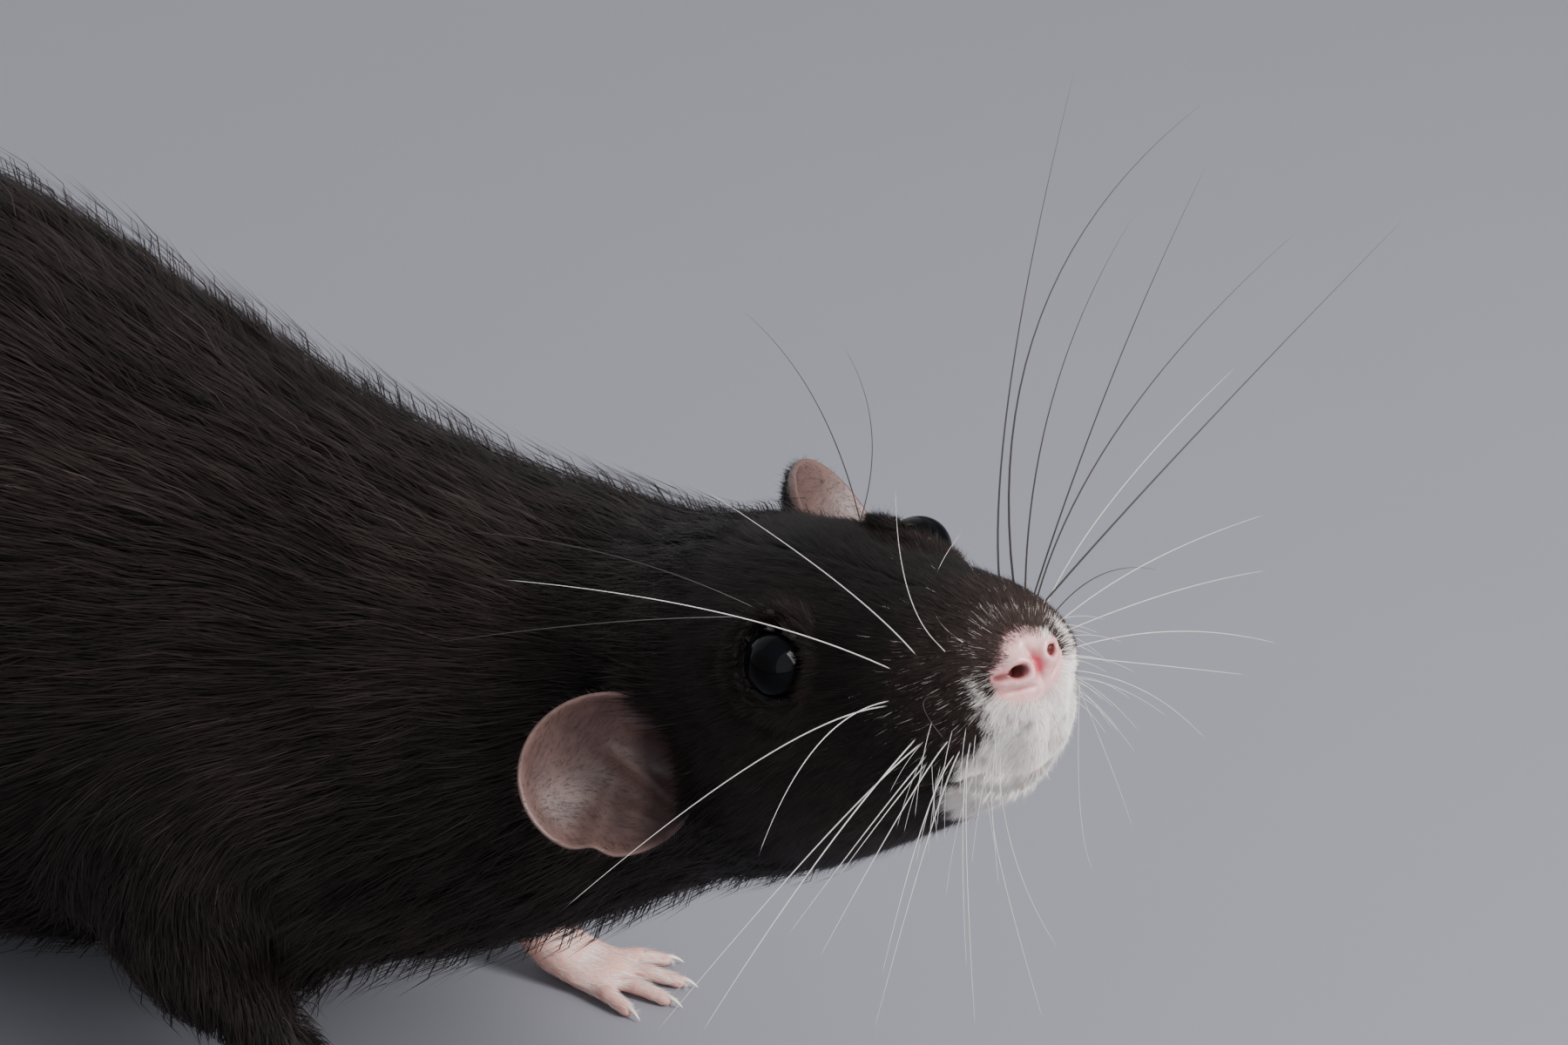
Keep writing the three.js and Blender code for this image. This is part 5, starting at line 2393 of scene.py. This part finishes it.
BROWS = (
    Whisker((7.4, 0.5, 6.0), (14.0, 8.0, 15.0), (19.0, 19.0, 22.0), 0.1),
    Whisker((8.4, 1.6, 5.4), (19.0, 9.0, 9.0), (28.0, 20.0, 13.0), 0.09),
    Whisker((-7.4, 0.5, 6.0), (-13.0, 8.0, 15.0), (-18.0, 20.0, 21.0), 0.1),
    Whisker((-8.4, 1.6, 5.4), (-18.0, 7.0, 11.0), (-27.0, 18.0, 15.0), 0.09),
)
FAR_WHISKERS = {
    Tint.DARK: (
        ((8.6, -12.5, -2.2), (1163, 420), (1235, 75), 0.5, -42, 0.2),
        ((8.8, -14.0, -2.6), (1200, 350), (1381, 118.5), 0.5, -34.7, 0.2),
        ((8.6, -15.5, -3.0), (1205, 470), (1300, 250), 0.45, -22, 0.16),
        ((8.2, -16.8, -3.4), (1290, 400), (1385, 190), 0.55, -28, 0.17),
        ((7.6, -18.0, -3.2), (1330, 430), (1490, 265), 0.6, -24, 0.17),
        ((7.2, -19.0, -3.6), (1400, 470.5), (1613.8, 249.4), 0.55, -23.6, 0.19),
        ((6.6, -20.0, -4.6), (1260, 662), (1330, 655), 0.45, -8, 0.1),
    ),
    Tint.PALE: (
        ((8.0, -17.2, -5.0), (1280, 570), (1420, 420), 0.5, -18, 0.16),
        ((8.2, -17.5, -6.6), (1320, 645), (1455, 590), 0.5, -16, 0.15),
        ((7.6, -18.6, -7.0), (1345, 680), (1455, 655), 0.5, -12, 0.13),
        ((7.2, -19.2, -8.4), (1350, 725), (1470, 740), 0.5, -8, 0.14),
        ((6.6, -20.0, -8.8), (1340, 765), (1430, 775), 0.5, -5, 0.11),
        ((6.2, -20.4, -10.0), (1325, 800), (1385, 850), 0.55, -3, 0.1),
        ((6.0, -19.6, -11.6), (1275, 880), (1300, 950), 0.5, 0, 0.09),
        ((5.0, -20.4, -12.0), (1240, 930), (1255, 1000), 0.5, 2, 0.09),
    ),
}
"""The left side: the root in the head's frame, where the camera sees a place between and the tip,
how far along the place is, how near the tip is, and the thickness."""
NEAR_WHISKERS = {
    Tint.DARK: (((1080, 800), (1060, 810), (1085, 850), 24, 0.09),),
    Tint.PALE: (
        ((1010, 812), (860, 880), (640, 1050), 16, 0.18),
        ((1016, 806), (935, 860), (870, 985), 22, 0.15),
        ((1015, 765), (820, 702), (570, 665), 22, 0.17),
        ((1045, 745), (950, 660), (805, 560), 10, 0.17),
        ((1075, 738), (1040, 670), (1028, 560), 6, 0.12),
        ((1095, 730), (1070, 680), (1105, 610), 4, 0.08),
        ((1052, 858), (930, 980), (745, 1195), 20, 0.19),
        ((1048, 852), (930, 1000), (800, 1195), 24, 0.19),
        ((1060, 872), (990, 960), (900, 1080), 18, 0.15),
        ((1062, 878), (1020, 930), (960, 1010), 20, 0.13),
        ((1085, 855), (1030, 940), (935, 1110), 22, 0.16),
        ((1092, 872), (1055, 960), (1010, 1130), 20, 0.15),
        ((1098, 870), (1060, 980), (1000, 1195), 14, 0.17),
        ((1112, 862), (1105, 960), (1110, 1120), 14, 0.12),
        ((1110, 880), (1110, 1000), (1120, 1190), 10, 0.14),
        ((1148, 900), (1170, 1000), (1215, 1090), 6, 0.1),
        ((1140, 925), (1150, 1000), (1200, 1180), 4, 0.11),
    ),
}
"""The right side: where the camera sees the root, a place half-way and the tip, how near the tip
is, and the thickness."""


class Whiskers:
    """The whiskers of one tint, with the short fine ones between the long ones."""

    bulge = 1.5
    """How far a whisker of the right side bends towards the camera, in millimetres."""
    width = {Tint.DARK: 0.46, Tint.PALE: 0.3}
    """How wide they are to each side, as a share of their thickness."""
    short_ones = 40

    def __init__(self, tint: Tint, studio: Studio) -> None:
        """Places the long whiskers of this tint.

        Args:
            tint: their colour.
            studio: the studio, whose camera sees them.
        """
        self.tint, self.studio = tint, studio
        points, faces = node_meshes(("head", "lower_jaw", "nose", "neck"))
        head = BVHTree.FromPolygons(points.tolist(), faces.tolist())
        eye = studio.seen((0, 0), studio.distance)
        self.long = list(BROWS) if tint is Tint.DARK else []
        for root, via, tip, share, near, thick in FAR_WHISKERS[tint]:
            self.place(HEAD.out(vec(*root)), via, tip, share, near, thick)
        for root, via, tip, near, thick in NEAR_WHISKERS[tint]:
            hit = head.ray_cast(Vector(eye), Vector(studio.seen(root, 0.0) - eye))[0]
            self.place(np.array(hit), via, tip, 0.5, near, thick, self.bulge)

    def place(
        self, root: Array, via: Spot, tip: Spot, share: float,
        near: float, thick: float, bulge: float = 0.0,
    ) -> None:
        """Adds a long whisker.

        Args:
            root: its root, in the part's frame.
            via: where the camera sees a place on its way.
            tip: where the camera sees its tip.
            share: how far along it the place is.
            near: how much nearer its tip lies to the camera than the head's origin.
            thick: its thickness.
            bulge: how far it bends towards the camera.
        """
        start = (root - np.array(HEAD.origin)) @ self.studio.axes[2]
        middle = self.studio.seen(via, start + (near - start) * share + bulge)
        spots = (root, middle, self.studio.seen(tip, near))
        self.long.append(Whisker(*(tuple(HEAD.into(spot)) for spot in spots), thick, share))

    def short(self) -> list[Whisker]:
        """Fine short whiskers on both lips and the chin.

        Returns:
            The whiskers.
        """
        rng = np.random.default_rng(7)
        made = []
        for i in range(self.short_ones):
            side = 1 if i % 2 else -1
            run, drop = rng.uniform(0, 1, 2)
            root = np.array([side * (7.4 - 3.2 * run), -15.5 - 5.5 * run, -5.0 - 7.5 * drop])
            way = unit(np.array([side * 0.8, 0.15 - 0.5 * run, -0.35 - 0.7 * drop]) + rng.normal(0, 0.2, 3))
            reach = rng.uniform(4.0, 11.0)
            middle = root + way * reach * 0.5 + np.array([0, 0.0, 0.06 * reach])
            tip = root + way * reach + np.array([0, 0.1 * reach, -0.12 * reach])
            made.append(Whisker(tuple(root), tuple(middle), tuple(tip), 0.055))
        return made

    def build(self, finish: Material) -> Object:
        """Makes them as one joined mesh of tapering tubes.

        Args:
            finish: their material.

        Returns:
            The piece.
        """
        chosen = self.long + (self.short() if self.tint is Tint.PALE else [])
        parts, along = [], []
        for one in chosen:
            line = one.line()
            share = np.linspace(0, 1, len(line))
            radii = self.width[self.tint] * one.thick * (1 - share**1.8) + 0.012
            points, faces = tube(HEAD.out(line), radii, 6)
            parts.append((points, faces))
            along.append(np.concatenate([np.repeat(share[:-1], 6), [1.0, 0.0]]))
        piece = make_piece(f"whiskers_{self.tint.value}", *gathered(parts))
        put(piece, "along", np.concatenate(along))
        LOG.info("%s whiskers: %d", self.tint.value, len(chosen))
        dress(piece, finish)
        return piece


def main() -> None:
    """Builds the animal piece by piece."""
    logging.basicConfig(level=logging.INFO, format="%(name)s: %(message)s")
    studio = Studio()
    studio.build()
    groups = Groups()
    flesh = Flesh()
    skin = Skin(flesh)
    nose = BareFinish("nose skin", (0.6, 0.36, 0.35), (0.47, 0.075, 0.1), 0.5, 0.38, 0.2, 0.6, 0.06, 0.25)
    ear = BareFinish("ear skin", (0.118, 0.067, 0.058), (0.03, 0.01, 0.011), 0.5, 0.46, 0.15, 0.7, 0.04)
    foot = BareFinish("foot skin", (0.66, 0.38, 0.33), (0.5, 0.24, 0.2), 0.4, 0.5, 0.25, 0.8, 0.08)
    skin.build(
        {
            Zone.HIDE: HideFinish().build(groups),
            # nose: the last colour is painted shade inside the nostrils
            Zone.NOSE: nose.build(groups, "flush", (0.06, 0.004, 0.003)),
            Zone.EAR: ear.build(groups, "ear_tone_and_painted_shade"),
            Zone.FOOT: foot.build(groups),
            Zone.TAIL: TailFinish().build(groups),
        }
    )
    coat = Coat(flesh, skin)
    hair = HairFinish().build(groups)
    for area in Area:
        coat.grow(area, hair)
    wet = EyeFinish().build()
    for side in EYES:
        Eye(side).build(wet)
    claw = HornFinish("claw horn", (0.55, 0.38, 0.32), (0.75, 0.68, 0.6))
    dark = HornFinish("dark whisker", (0.015, 0.012, 0.012), (0.05, 0.04, 0.04))
    pale = HornFinish("pale whisker", (0.42, 0.4, 0.39), (0.56, 0.54, 0.53))
    Claws().build(claw.build())
    Whiskers(Tint.DARK, studio).build(dark.build())
    Whiskers(Tint.PALE, studio).build(pale.build())
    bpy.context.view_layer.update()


if __name__ == "__main__":
    main()
